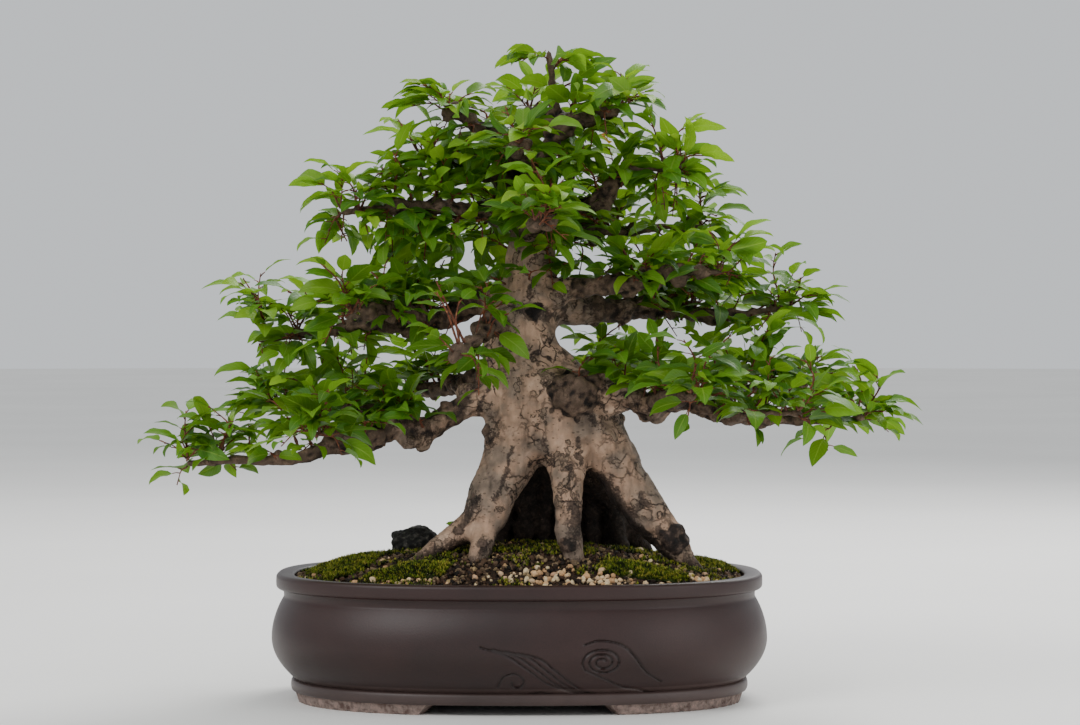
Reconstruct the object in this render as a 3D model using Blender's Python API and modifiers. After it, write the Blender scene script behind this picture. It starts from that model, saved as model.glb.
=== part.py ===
"""Bonsai tree in a shallow oval stoneware pot.

Metres, +Z up, +X along the pot's length. The pot is centred on the empty "bonsai", which stands a few
millimetres off the origin, so that the origin lies under the middle of the whole tree.
"""

from math import cos, pi, radians, sin

import bmesh
import bpy
from mathutils import Matrix, Vector, noise
from mathutils.bvhtree import BVHTree

# Driving dimensions: the pot.
POT_LENGTH = 0.400
POT_WIDTH = 0.290
POT_HEIGHT = 0.104
LIP_HEIGHT = 0.0125
LIP_WIDTH = 0.015
NECK_INSET = 0.006
BELLY_BULGE = 0.004
RAIL_INSET = 0.013
RAIL_HEIGHT = 0.009
FOOT_HEIGHT = 0.0085
FOOT_DEPTH = 0.018
FLOOR_THICKNESS = 0.010
WALL_THICKNESS = 0.010
DRAIN_HOLE_RADIUS = 0.014
DRAIN_HOLE_SPACING = 0.170

# Driving dimensions: what fills the pot.
DRAINAGE_DEPTH = 0.012
SOIL_BELOW_LIP = 0.006
MOUND_HEIGHT = 0.026
MESH_SIDE = 0.036
MESH_WIRE = 0.0012
CLIP_WIRE = 0.0016

# Driving dimensions: the tree.
TREE_HEIGHT = 0.422
TREE_SPREAD = 0.632
WOOD_GIRTH = 1.0
PAD_WALL = 0.002
PAD_FULLNESS = 1.05
PAD_RISE = 1.5
MOST_DROP = 0.060

# Clearances between touching pieces.
GAP = 0.0003
SEAT_GAP = 0.0004
MOSS_GAP = 0.0006
SEAT_SWELL = 0.0006
POCKET_ROOM = 0.004
POCKET_DEPTH = 0.010

# The tree reaches further to the right and to the back of the pot's middle than to the left and the front.
POT_MIDDLE_X = -0.008
POT_MIDDLE_Y = -0.025

# The sizes that the branch, foliage, moss and rock tables below are written for.
TABLE_HEIGHT = 0.422
TABLE_SPREAD = 0.632
TABLE_POT_LENGTH = 0.400
TABLE_POT_WIDTH = 0.290
SOIL_LINE = 0.118
TREE_SUNK = 0.006

# Detail of the meshes.
PLAN_POINTS = 48
PLAN_POWER = 2.45
VOXEL = 0.0042
WOOD_KEPT = 0.12

# Colours of the plain materials: sRGB-like linear values, roughness.
FINISHES = {
    "stoneware": ((0.045, 0.026, 0.023), 0.5),
    "drain_mesh": ((0.02, 0.02, 0.02), 0.6),
    "wire": ((0.60, 0.36, 0.22), 0.4),
    "gravel": ((0.22, 0.19, 0.16), 0.95),
    "soil": ((0.06, 0.035, 0.02), 0.95),
    "moss": ((0.08, 0.11, 0.02), 0.95),
    "rock": ((0.03, 0.03, 0.03), 0.85),
    "bark": ((0.36, 0.26, 0.18), 0.8),
    "leaves": ((0.07, 0.20, 0.02), 0.5),
}

# Each limb is a run of points: x, y and z from the pot's middle, then the limb's radius, in millimetres.
LIMBS = {
    "trunk": [
        (33, 0, 208, 43), (27, 0, 232, 44), (17, 0, 254, 42), (6, 0, 271, 37), (0, 0, 286, 33),
        (2, 0, 305, 29), (6, 0, 320, 26), (9, 0, 336, 23), (10, 2, 354, 22), (11, 4, 373, 20),
        (11, 5, 393, 17), (11, 5, 410, 14), (11, 4, 428, 12),
    ],
    "apex": [
        (11, 4, 424, 12), (14, 2, 440, 9), (24, 0, 452, 8), (30, -3, 468, 6), (29, 0, 494, 5),
        (24, 2, 535, 4),
    ],
    "apex_left": [
        (8, 4, 428, 10), (-6, 3, 444, 8), (-16, 1, 456, 6.5), (-28, -2, 470, 5), (-62, -8, 484, 4),
    ],
    "apex_right": [(30, -3, 468, 6), (50, -10, 480, 4.5), (84, -20, 484, 4)],
    "apex_back": [(24, 1, 470, 6), (14, 32, 480, 4.5), (8, 58, 484, 4)],
    "apex_front": [(11, 2, 430, 9), (6, -28, 446, 5.5), (0, -56, 452, 4)],
    # Roots and the legs that they make above the soil.
    "left_leg": [
        (5, -2, 250, 35), (4, -6, 226, 31), (-1, -10, 210, 26), (-11, -16, 190, 24),
        (-21, -24, 173, 20.5), (-24, -30, 159, 20), (-29, -36, 146, 18),
    ],
    "left_toe": [
        (-29, -34, 148, 15), (-50, -36, 137, 10), (-70, -40, 124, 8), (-92, -44, 110, 6),
        (-112, -46, 96, 4),
    ],
    "front_toe": [
        (-29, -36, 146, 15), (-28, -48, 134, 11), (-33, -60, 118, 8.5), (-37, -70, 102, 6),
        (-42, -82, 90, 4),
    ],
    "middle_leg": [
        (25, -8, 232, 38), (36, -22, 206, 20), (39, -32, 190, 15.5), (39.5, -40, 176, 14),
        (41, -46, 159, 11.5), (39, -50, 142, 11.5), (43, -54, 127, 10), (48, -62, 108, 7),
        (52, -72, 92, 4),
    ],
    "right_leg": [
        (36, 0, 250, 34), (50, -4, 232, 33), (64, -8, 215, 26), (80, -14, 193, 20),
        (88, -18, 176, 18.5), (100, -22, 159, 18), (113, -26, 145, 17), (123, -28, 133, 14),
        (133, -30, 117, 9), (148, -34, 102, 6), (164, -40, 92, 4),
    ],
    "back_left_leg": [
        (10, 8, 246, 34), (-4, 28, 205, 23), (-18, 46, 172, 17), (-32, 58, 142, 13), (-44, 68, 118, 9),
        (-60, 82, 94, 4.5),
    ],
    "back_right_leg": [
        (28, 8, 240, 38), (50, 28, 202, 23), (70, 44, 172, 17), (88, 56, 142, 13), (102, 66, 118, 9),
        (120, 78, 94, 4.5),
    ],
    # Low branches.
    "low_left": [
        (-4, -4, 248, 22), (-30, -10, 245, 13), (-46, -14, 240, 10.5), (-62, -18, 229, 10),
        (-84, -24, 217, 12), (-98, -30, 231, 9.5), (-116, -36, 213, 8.5), (-143, -42, 214, 7.5),
        (-166, -46, 204, 6.5), (-188, -48, 196, 5.5), (-215, -48, 198, 5), (-245, -46, 198, 4.5),
        (-272, -44, 194, 4),
    ],
    "low_left_front": [
        (-114, -36, 214, 8), (-128, -64, 220, 5.5), (-146, -90, 222, 4.5), (-164, -108, 222, 4),
    ],
    "low_left_back": [
        (-98, -30, 231, 8), (-122, -2, 238, 5.5), (-150, 18, 240, 5), (-180, 34, 238, 4.5),
        (-206, 44, 236, 4),
    ],
    "low_right": [
        (40, -16, 254, 20), (70, -26, 253, 13), (92, -30, 249, 10), (104, -34, 240, 9.5),
        (120, -36, 247, 9), (134, -38, 250, 10), (148, -38, 240, 8), (165, -40, 233, 7.5),
        (190, -42, 232, 6.5), (222, -42, 230, 5.5), (254, -40, 229, 4.5), (282, -38, 232, 4),
    ],
    "low_right_stub": [(104, -34, 240, 8.5), (117, -36, 228, 6.5)],
    "low_right_front": [
        (165, -40, 233, 7), (184, -66, 237, 5), (206, -88, 238, 4.5), (224, -100, 238, 4),
    ],
    "low_right_back": [
        (140, -38, 244, 8), (170, -8, 250, 5.5), (196, 14, 254, 5), (222, 32, 256, 4.5),
        (246, 44, 256, 4),
    ],
    "low_front_right": [(104, -34, 241, 9), (112, -64, 249, 6), (126, -98, 252, 5), (140, -128, 252, 4)],
    "low_back_left": [
        (-2, 14, 266, 18), (-36, 42, 262, 9.5), (-70, 72, 252, 7), (-98, 100, 246, 5.5),
        (-120, 124, 243, 4.5), (-138, 146, 241, 4),
    ],
    "low_back_right": [
        (26, 16, 260, 20), (50, 50, 262, 9.5), (70, 86, 261, 7), (84, 120, 259, 5.5),
        (92, 148, 257, 4.5), (98, 174, 256, 4),
    ],
    # Middle branches.
    "middle_left": [
        (4, 4, 328, 16), (-16, 10, 333, 11.5), (-40, 14, 324, 10), (-56, 18, 316, 9.5),
        (-67, 20, 312, 9), (-91, 24, 307, 8), (-125, 28, 307, 6.5), (-145, 30, 305, 6),
        (-172, 32, 300, 5), (-200, 32, 296, 4.5), (-222, 30, 293, 4),
    ],
    "middle_left_front": [
        (-65, 20, 312, 8), (-86, -10, 317, 5.5), (-110, -34, 319, 4.5), (-136, -52, 319, 4),
    ],
    "middle_left_back": [
        (-91, 24, 307, 7.5), (-112, 54, 312, 5.5), (-132, 82, 314, 4.5), (-152, 106, 314, 4),
    ],
    "middle_front": [
        (-2, -12, 316, 13), (-20, -44, 307, 7), (-34, -78, 296, 5.5), (-44, -108, 288, 4.5),
        (-50, -134, 284, 4),
    ],
    "middle_back": [
        (12, 14, 300, 17), (6, 48, 302, 9), (-6, 84, 305, 7), (-14, 120, 303, 5.5),
        (-16, 150, 301, 4.5), (-12, 178, 300, 4),
    ],
    "middle_right": [
        (22, 6, 322, 16), (58, 16, 318, 10.5), (85, 22, 319, 10), (110, 26, 325, 8.5),
        (136, 30, 318, 8), (155, 34, 313, 7), (186, 38, 314, 5.5), (208, 40, 319, 4.5),
        (228, 40, 322, 4),
    ],
    "middle_right_front": [
        (22, -10, 334, 13), (56, -22, 337, 8), (76, -30, 341, 7.5), (102, -38, 344, 6.5),
        (120, -44, 348, 5.5), (144, -54, 350, 4.5), (168, -62, 349, 4),
    ],
    "middle_right_back": [(85, 22, 319, 9), (108, 54, 323, 5.5), (134, 84, 325, 4.5), (156, 108, 325, 4)],
    # Upper branches.
    "upper_left": [
        (8, 3, 402, 13), (-12, 0, 404, 9.5), (-34, -2, 399, 8), (-58, -6, 403, 7), (-83, -8, 404, 6),
        (-108, -10, 402, 5), (-132, -12, 401, 4.5), (-150, -12, 399, 4),
    ],
    "upper_left_back": [
        (4, 6, 424, 9), (-16, 12, 430, 6.5), (-38, 16, 438, 5.5), (-60, 20, 445, 5), (-84, 22, 450, 4),
    ],
    "upper_right": [
        (14, 0, 400, 12), (34, -4, 401, 9), (56, -8, 404, 7.5), (71, -10, 412, 7), (82, -12, 426, 6),
        (94, -14, 434, 5), (112, -16, 437, 4.5), (134, -18, 436, 4),
    ],
    "upper_right_back": [
        (14, 6, 386, 12), (38, 14, 385, 7.5), (70, 22, 384, 6), (100, 30, 386, 5), (128, 36, 389, 4.5),
        (152, 40, 392, 4),
    ],
    "upper_front": [
        (11, -6, 385, 11), (16, -36, 391, 7), (22, -66, 393, 5.5), (20, -94, 390, 4.5),
        (14, -118, 387, 4),
    ],
    "upper_back": [
        (10, 10, 388, 12), (4, 40, 395, 7.5), (-6, 68, 400, 6), (-10, 94, 402, 5), (-8, 118, 401, 4),
    ],
    # Swollen knots, each a short thick run.
    "right_knot": [(42, -22, 246, 17), (48, -26, 262, 15)],
    "round_knot": [(26, -12, 326, 12), (32, -14, 334, 11)],
    "left_knot": [(-84, -24, 214, 13), (-90, -26, 222, 11)],
    "elbow_knot": [(130, -38, 250, 10), (131, -38, 260, 8)],
}

# Each foliage pad is x, y and z of its middle, its half length, half depth and rise, in millimetres. Every
# pad comes down on the branch below it, so z only says which branch that is.
FOLIAGE = {
    "low_left": [
        (-257, -44, 204, 50, 36, 16), (-172, -48, 216, 40, 34, 16), (-206, 46, 244, 44, 36, 16),
        (-158, -116, 230, 40, 30, 15), (-102, -60, 232, 22, 22, 12), (-134, 12, 248, 24, 26, 12),
    ],
    "low_back": [
        (-140, 142, 250, 44, 38, 16), (-84, 90, 258, 34, 28, 14), (98, 172, 264, 44, 38, 16),
        (74, 104, 268, 32, 28, 14),
    ],
    "low_right": [
        (272, -38, 238, 48, 36, 18), (192, -46, 240, 34, 30, 15), (216, -106, 246, 38, 26, 15),
        (246, 46, 262, 44, 36, 16), (178, 10, 258, 26, 26, 12), (142, -130, 260, 38, 30, 15),
        (112, -72, 260, 22, 20, 12),
    ],
    "middle_left": [
        (-206, 30, 302, 44, 40, 17), (-136, -54, 326, 40, 30, 16), (-118, 30, 314, 26, 22, 14),
        (-154, 108, 320, 38, 34, 16), (-80, -10, 324, 26, 24, 12),
    ],
    "middle_front": [(-50, -134, 290, 38, 30, 15), (-26, -76, 304, 24, 24, 12)],
    "middle_back": [(-12, 176, 306, 42, 34, 16), (-8, 112, 311, 34, 28, 14)],
    "middle_right": [
        (220, 40, 327, 40, 36, 17), (166, -62, 355, 36, 28, 17), (148, 34, 324, 28, 24, 12),
        (158, 108, 331, 38, 34, 16), (96, -40, 351, 28, 22, 12),
    ],
    "upper_left": [(-134, -12, 406, 40, 36, 17), (-60, -8, 410, 22, 24, 13), (-80, 24, 455, 38, 34, 17)],
    "upper_right": [(128, -18, 441, 38, 34, 17), (148, 42, 397, 36, 32, 16), (76, 24, 391, 24, 20, 12)],
    "upper_front": [(15, -116, 393, 40, 27, 15), (20, -58, 399, 24, 20, 11)],
    "upper_back": [(-9, 112, 407, 40, 34, 16)],
    "crown": [
        (0, -58, 458, 38, 28, 16), (-64, -10, 488, 36, 30, 18), (86, -20, 488, 30, 27, 17),
        (6, 60, 490, 36, 30, 16), (22, 4, 530, 34, 32, 19),
    ],
}

# Each moss patch is x and y of its middle, its half length and half depth, in millimetres.
MOSS = {
    "left": (-142, -22, 30, 44),
    "front_left": (-86, -88, 34, 17),
    "front_right": (98, -84, 36, 17),
    "right": (160, 24, 20, 36),
    "back": (20, 104, 62, 14),
}
MOSS_THICKNESS = 0.005

# The rock's middle lies this far from the pot's middle and above its lip.
ROCK_MIDDLE = (-0.086, 0.016, 0.020)
ROCK_HALF_SIZE = (0.021, 0.017, 0.016)


def clear_scene():
    for existing in list(bpy.data.objects):
        bpy.data.objects.remove(existing, do_unlink=True)


def collection(name):
    made = bpy.data.collections.new(name)
    bpy.context.scene.collection.children.link(made)
    return made


def material(name):
    """A plain Principled material from the FINISHES table, made once."""
    if name in bpy.data.materials:
        return bpy.data.materials[name]
    made = bpy.data.materials.new(name)
    made.use_nodes = True
    colour, roughness = FINISHES[name]
    shader = made.node_tree.nodes["Principled BSDF"]
    shader.inputs["Base Color"].default_value = (*colour, 1.0)
    shader.inputs["Roughness"].default_value = roughness
    shader.inputs["Metallic"].default_value = 1.0 if name == "wire" else 0.0
    return made


def place(name, mesh, finish, where, smooth_angle=None):
    """An object of this mesh, in the collection where."""
    made = bpy.data.objects.new(name, mesh)
    where.objects.link(made)
    mesh.materials.clear()
    mesh.materials.append(material(finish))
    if smooth_angle is not None:
        mesh.shade_smooth()
        mesh.set_sharp_from_angle(angle=radians(smooth_angle))
    return made


def mesh_of(name, model):
    """The mesh of this bmesh, with its faces turned outwards and flat, so that a cut leaves them as they are."""
    bmesh.ops.recalc_face_normals(model, faces=model.faces)
    bmesh.ops.triangulate(model, faces=model.faces)
    made = bpy.data.meshes.new(name)
    model.to_mesh(made)
    model.free()
    return made


def evaluated_mesh(thing):
    """A new mesh of the object with its modifiers applied."""
    bpy.context.view_layer.update()
    graph = bpy.context.evaluated_depsgraph_get()
    return bpy.data.meshes.new_from_object(thing.evaluated_get(graph), depsgraph=graph)


def make_helper(thing):
    thing.hide_render = True
    thing.display_type = "WIRE"
    return thing


def cut(thing, cutter, solver="EXACT"):
    """Cuts the cutter out of thing; MANIFOLD is for a cutter whose own skin folds through itself."""
    make_helper(cutter)
    step = thing.modifiers.new(cutter.name, "BOOLEAN")
    step.operation = "DIFFERENCE"
    step.solver = solver
    step.object = cutter


def plan_point(angle, inset):
    """A point on the pot's plan, a rounded oval, this far inside the lip's outer edge."""
    half_x = POT_LENGTH / 2 - inset
    half_y = POT_WIDTH / 2 - inset
    across, along = cos(angle), sin(angle)
    reach = (abs(across) ** PLAN_POWER + abs(along) ** PLAN_POWER) ** (-1 / PLAN_POWER)
    return half_x * reach * across, half_y * reach * along


def plan_angles():
    return [2 * pi * step / PLAN_POINTS for step in range(PLAN_POINTS)]


def ring(model, inset, height):
    """A ring of points on the plan; height is a number or a function of x and y."""
    points = []
    for angle in plan_angles():
        x, y = plan_point(angle, inset)
        z = height(x, y) if callable(height) else height
        points.append(model.verts.new((x, y, z)))
    return points


def skin(model, rings):
    """Faces between each ring and the next, and a cap on the first and the last."""
    for low, high in zip(rings, rings[1:]):
        for index in range(len(low)):
            after = (index + 1) % len(low)
            model.faces.new((low[index], low[after], high[after], high[index]))
    for end in (rings[0], rings[-1]):
        middle = model.verts.new(sum((point.co for point in end), Vector()) / len(end))
        for index in range(len(end)):
            model.faces.new((end[index], end[(index + 1) % len(end)], middle))


def inner_inset(height):
    """How far the pot's inner wall lies inside the lip's outer edge: narrower at the lip and at the floor."""
    floor = FOOT_HEIGHT + FLOOR_THICKNESS
    share = (height - floor) / (POT_HEIGHT - floor)
    bulge = (NECK_INSET + BELLY_BULGE) * sin(pi * min(1.0, max(0.0, share)))
    bowl = NECK_INSET + WALL_THICKNESS - bulge
    foot_curve = (RAIL_INSET + WALL_THICKNESS - bowl) * max(0.0, 1 - share * 3.2) ** 2
    return max(bowl + foot_curve, LIP_WIDTH if share > 0.86 else 0.0)


def belly_ring_insets():
    """Height and inset of the belly between the rail and the neck, as one swelling curve."""
    low = FOOT_HEIGHT + RAIL_HEIGHT
    high = POT_HEIGHT - LIP_HEIGHT - 0.007
    steps = 8
    found = []
    for step in range(steps + 1):
        share = step / steps
        swell = sin(pi * (0.10 + 0.80 * share)) ** 0.75
        end = RAIL_INSET + 0.002 if share < 0.5 else NECK_INSET
        least = sin(pi * 0.10) ** 0.75
        weight = (swell - least) / (1 - least)
        found.append((low + (high - low) * share, end + (-BELLY_BULGE - end) * weight))
    return found


def make_foot(name, start, end, cutters):
    """One foot: a strip along the plan between two angles, its ends slanting in towards the ground."""
    steps = 9
    slant = radians(2.2)
    model = bmesh.new()
    sections = []
    for step in range(steps + 1):
        share = step / steps
        top_angle = start + (end - start) * share
        bottom_angle = start + slant + (end - start - 2 * slant) * share
        outer_top = plan_point(top_angle, RAIL_INSET + 0.0015)
        inner_top = plan_point(top_angle, RAIL_INSET + FOOT_DEPTH)
        outer_low = plan_point(bottom_angle, RAIL_INSET + 0.0035)
        inner_low = plan_point(bottom_angle, RAIL_INSET + FOOT_DEPTH - 0.002)
        top = FOOT_HEIGHT + 0.002
        corners = [(*outer_low, 0.0), (*outer_top, top), (*inner_top, top), (*inner_low, 0.0)]
        sections.append([model.verts.new(corner) for corner in corners])
    for here, there in zip(sections, sections[1:]):
        for index in range(4):
            after = (index + 1) % 4
            model.faces.new((here[index], here[after], there[after], there[index]))
    model.faces.new(sections[0])
    model.faces.new(sections[-1])
    return make_helper(place(name, mesh_of(name, model), "stoneware", cutters))


def foot_spans():
    """Start and end angles of the four corner feet, which leave a gap at the middle of each side."""
    inner, outer = radians(112), radians(166)
    quarter = [(inner, outer), (pi - outer, pi - inner)]
    return quarter + [(low + pi, high + pi) for low, high in quarter]


def make_pot(parts, cutters):
    """Rail, belly, neck and lip outside, a bowl inside, four feet and two drain holes, in one piece."""
    model = bmesh.new()
    rings = [ring(model, RAIL_INSET + 0.004, FOOT_HEIGHT)]
    rail_top = FOOT_HEIGHT + RAIL_HEIGHT
    rail = [(FOOT_HEIGHT + 0.0004, 0.001), (FOOT_HEIGHT + RAIL_HEIGHT * 0.5, 0.0), (rail_top - 0.0006, 0.0012)]
    for height, inset in rail:
        rings.append(ring(model, RAIL_INSET + inset, height))
    for height, inset in belly_ring_insets():
        rings.append(ring(model, inset, height))
    lip_low = POT_HEIGHT - LIP_HEIGHT
    lip = [(lip_low - 0.001, NECK_INSET * 0.8), (lip_low + 0.001, 0.0012), (lip_low + 0.003, 0.0)]
    lip += [(POT_HEIGHT - 0.004, 0.0), (POT_HEIGHT - 0.0012, 0.0010), (POT_HEIGHT, 0.0040)]
    lip += [(POT_HEIGHT, LIP_WIDTH - 0.002), (POT_HEIGHT - 0.0015, LIP_WIDTH)]
    for height, inset in lip:
        rings.append(ring(model, inset, height))
    floor = FOOT_HEIGHT + FLOOR_THICKNESS
    steps = 7
    for step in range(1, steps + 1):
        height = POT_HEIGHT - 0.006 + (floor - POT_HEIGHT + 0.006) * step / steps
        rings.append(ring(model, inner_inset(height), height))
    skin(model, rings)
    pot = place("pot", mesh_of("pot", model), "stoneware", parts, 40)
    for index, (start, end) in enumerate(foot_spans()):
        foot = make_foot(f"foot_{index + 1}", start, end, cutters)
        step = pot.modifiers.new(foot.name, "BOOLEAN")
        step.operation = "UNION"
        step.solver = "EXACT"
        step.object = foot
    for side in (-1, 1):
        model = bmesh.new()
        middle = Matrix.Translation((side * DRAIN_HOLE_SPACING / 2, 0, FOOT_HEIGHT + FLOOR_THICKNESS / 2))
        bmesh.ops.create_cone(
            model, cap_ends=True, segments=24, radius1=DRAIN_HOLE_RADIUS, radius2=DRAIN_HOLE_RADIUS,
            depth=FLOOR_THICKNESS * 2, matrix=middle,
        )
        name = f"drain_hole_{'left' if side < 0 else 'right'}"
        cut(pot, place(name, mesh_of(name, model), "stoneware", cutters))
    return pot


def make_drain_fittings(parts):
    """A square of plastic mesh over each drain hole, and the wire clip that holds it there."""
    floor = FOOT_HEIGHT + FLOOR_THICKNESS
    cells = 4
    cell = MESH_SIDE / cells
    for side, word in ((-1, "left"), (1, "right")):
        x = side * DRAIN_HOLE_SPACING / 2
        model = bmesh.new()
        bmesh.ops.create_grid(model, x_segments=cells, y_segments=cells, size=MESH_SIDE / 2)
        name = f"drain_mesh_{word}"
        mesh = bpy.data.meshes.new(name)
        model.to_mesh(mesh)
        model.free()
        net = place(name, mesh, "drain_mesh", parts)
        net.location = (x, 0, floor + GAP + MESH_WIRE / 2)
        wires = net.modifiers.new("wires", "WIREFRAME")
        wires.thickness = MESH_WIRE
        wires.use_boundary = True
        make_clip(f"drain_clip_{word}", x, cell, parts)


def make_clip(name, x, cell, parts):
    """A wire staple: over the mesh, down through two of its cells and the hole, and out under the floor."""
    floor = FOOT_HEIGHT + FLOOR_THICKNESS
    top = floor + GAP + MESH_WIRE + GAP + CLIP_WIRE / 2
    low = FOOT_HEIGHT - GAP - CLIP_WIRE / 2
    reach = DRAIN_HOLE_RADIUS * 0.5 + 0.007
    half = [(0.0, top), (cell * 0.40, top), (cell / 2, top - 0.0006), (cell / 2, low + 0.0012)]
    half += [(cell / 2 + 0.0008, low + 0.0002), (reach, low)]
    route = [(-along, z) for along, z in reversed(half[1:])] + half
    curve = bpy.data.curves.new(name, "CURVE")
    curve.dimensions = "3D"
    curve.bevel_depth = CLIP_WIRE / 2
    curve.bevel_resolution = 1
    curve.use_fill_caps = True
    spline = curve.splines.new("POLY")
    spline.points.add(len(route) - 1)
    for point, (along, z) in zip(spline.points, route):
        point.co = (along, along, z, 1.0)
    curve.materials.append(material("wire"))
    clip = bpy.data.objects.new(name, curve)
    clip.location = (x, 0, 0)
    parts.objects.link(clip)


def mound_height(x, y):
    """The soil's top: level with the inside of the lip at the wall, rising to the foot of the tree."""
    inset = inner_inset(POT_HEIGHT)
    out_x = abs(x) / (POT_LENGTH / 2 - inset)
    out_y = abs(y) / (POT_WIDTH / 2 - inset)
    out = min(1.0, (out_x**PLAN_POWER + out_y**PLAN_POWER) ** (1 / PLAN_POWER))
    return POT_HEIGHT - SOIL_BELOW_LIP + MOUND_HEIGHT * (1 - out**2.2)


def make_drainage_layer(parts, cutters):
    floor = FOOT_HEIGHT + FLOOR_THICKNESS + GAP
    model = bmesh.new()
    rings = []
    for step in range(4):
        height = floor + DRAINAGE_DEPTH * step / 3
        rings.append(ring(model, inner_inset(height) + GAP * 2 + 0.0012 * (step == 0), height))
    skin(model, rings)
    layer = place("drainage_layer", mesh_of("drainage_layer", model), "gravel", parts, 40)
    for side in (-1, 1):
        model = bmesh.new()
        pocket = Matrix.Translation((side * DRAIN_HOLE_SPACING / 2, 0, floor))
        side_length = MESH_SIDE + POCKET_ROOM
        block = Matrix.Diagonal((side_length, side_length, POCKET_DEPTH, 1))
        bmesh.ops.create_cube(model, size=1.0, matrix=pocket @ block)
        name = f"mesh_pocket_{'left' if side < 0 else 'right'}"
        cut(layer, place(name, mesh_of(name, model), "gravel", cutters))
    return layer


def make_soil(parts):
    low = FOOT_HEIGHT + FLOOR_THICKNESS + GAP + DRAINAGE_DEPTH + GAP
    high = POT_HEIGHT - SOIL_BELOW_LIP
    model = bmesh.new()
    rings = []
    steps = 5
    for step in range(steps + 1):
        height = low + (high - low) * step / steps
        rings.append(ring(model, inner_inset(height) + GAP * 2, height))
    edge = inner_inset(high) + GAP * 2
    middle = POT_WIDTH / 2
    steps = 7
    for step in range(1, steps):
        inset = edge + (middle - edge) * (step / steps)
        rings.append(ring(model, inset, mound_height))
    skin(model, rings)
    return place("soil", mesh_of("soil", model), "soil", parts, 60)


def make_rock(parts):
    model = bmesh.new()
    bmesh.ops.create_icosphere(model, subdivisions=2, radius=1.0)
    for point in model.verts:
        lump = 1 + 0.12 * noise.noise(point.co * 1.7 + Vector((4.0, 1.0, 7.0)))
        point.co = Vector(a * b * lump for a, b in zip(point.co, ROCK_HALF_SIZE))
    rock = place("rock", mesh_of("rock", model), "rock", parts, 50)
    x, y, below_top = ROCK_MIDDLE
    x *= POT_LENGTH / TABLE_POT_LENGTH
    y *= POT_WIDTH / TABLE_POT_WIDTH
    rock.location = (x, y, POT_HEIGHT + below_top)
    return rock


def make_moss(parts):
    """Low cushions that lie on the soil."""
    for word, numbers in MOSS.items():
        x, y, half_x, half_y = (number / 1000 for number in numbers)
        x *= POT_LENGTH / TABLE_POT_LENGTH
        y *= POT_WIDTH / TABLE_POT_WIDTH
        model = bmesh.new()
        around, steps = 16, 3
        sheets = []
        for rise in (0.0, MOSS_THICKNESS):
            sheet = []
            for step in range(steps, 0, -1):
                share = step / steps
                row = []
                for index in range(around):
                    angle = 2 * pi * index / around
                    lobe = 1 + 0.13 * sin(3 * angle + x * 90) + 0.07 * sin(5 * angle + y * 70)
                    px = x + half_x * share * lobe * cos(angle)
                    py = y + half_y * share * lobe * sin(angle)
                    pz = mound_height(px, py) + MOSS_GAP + rise * (1.1 - 0.8 * share**3)
                    row.append(model.verts.new((px, py, pz)))
                sheet.append(row)
            sheets.append(sheet)
        skin(model, list(reversed(sheets[0])) + sheets[1])
        name = f"moss_{word}"
        place(name, mesh_of(name, model), "moss", parts, 60)


def tree_point(x, y, z):
    """A point of the tables, in millimetres, scaled to the tree's own size."""
    wide = TREE_SPREAD / TABLE_SPREAD / 1000
    tall = TREE_HEIGHT / TABLE_HEIGHT
    foot = POT_HEIGHT - SOIL_BELOW_LIP + MOUND_HEIGHT - TREE_SUNK
    return Vector((x * wide, y * wide, foot + (z / 1000 - SOIL_LINE) * tall))


def make_wood(parts, cutters):
    """Trunk, roots and branches: tapering tubes melted into one skin."""
    curve = bpy.data.curves.new("limbs", "CURVE")
    curve.dimensions = "3D"
    curve.bevel_depth = 1.0
    curve.bevel_resolution = 3
    curve.resolution_u = 3
    curve.use_fill_caps = True
    for limb in LIMBS.values():
        spline = curve.splines.new("NURBS")
        spline.points.add(len(limb) - 1)
        spline.order_u = min(3, len(limb))
        spline.use_endpoint_u = True
        for point, (x, y, z, radius) in zip(spline.points, limb):
            point.co = (*tree_point(x, y, z), 1.0)
            point.radius = radius / 1000 * WOOD_GIRTH
    limbs = bpy.data.objects.new("limbs", curve)
    cutters.objects.link(limbs)
    mesh = evaluated_mesh(limbs)
    bpy.data.objects.remove(limbs)
    model = bmesh.new()
    model.from_mesh(mesh)
    bmesh.ops.remove_doubles(model, verts=model.verts, dist=1e-5)
    tubes = place("limb_tubes", mesh_of("limb_tubes", model), "bark", cutters)
    melt = tubes.modifiers.new("melt", "REMESH")
    melt.mode = "VOXEL"
    melt.voxel_size = VOXEL
    ease = tubes.modifiers.new("ease", "SMOOTH")
    ease.factor = 0.5
    ease.iterations = 3
    thin = tubes.modifiers.new("thin", "DECIMATE")
    thin.ratio = WOOD_KEPT
    model = bmesh.new()
    model.from_mesh(evaluated_mesh(tubes))
    bpy.data.objects.remove(tubes)
    return place("wood", mesh_of("wood", model), "bark", parts, 70)


def seat_cutter(thing, cutters):
    """The shape of this piece a clearance larger, which cuts its seat in the soil."""
    mesh = evaluated_mesh(thing)
    mesh.name = f"{thing.name}_seat"
    seat = place(mesh.name, mesh, "soil", cutters)
    seat.location = thing.location
    swell = seat.modifiers.new("swell", "DISPLACE")
    swell.strength = SEAT_SWELL
    swell.mid_level = 0.0
    return seat


def solid_tree(mesh, shift=Vector()):
    points = [point.co + shift for point in mesh.vertices]
    return BVHTree.FromPolygons(points, [list(face.vertices) for face in mesh.polygons])


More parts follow.
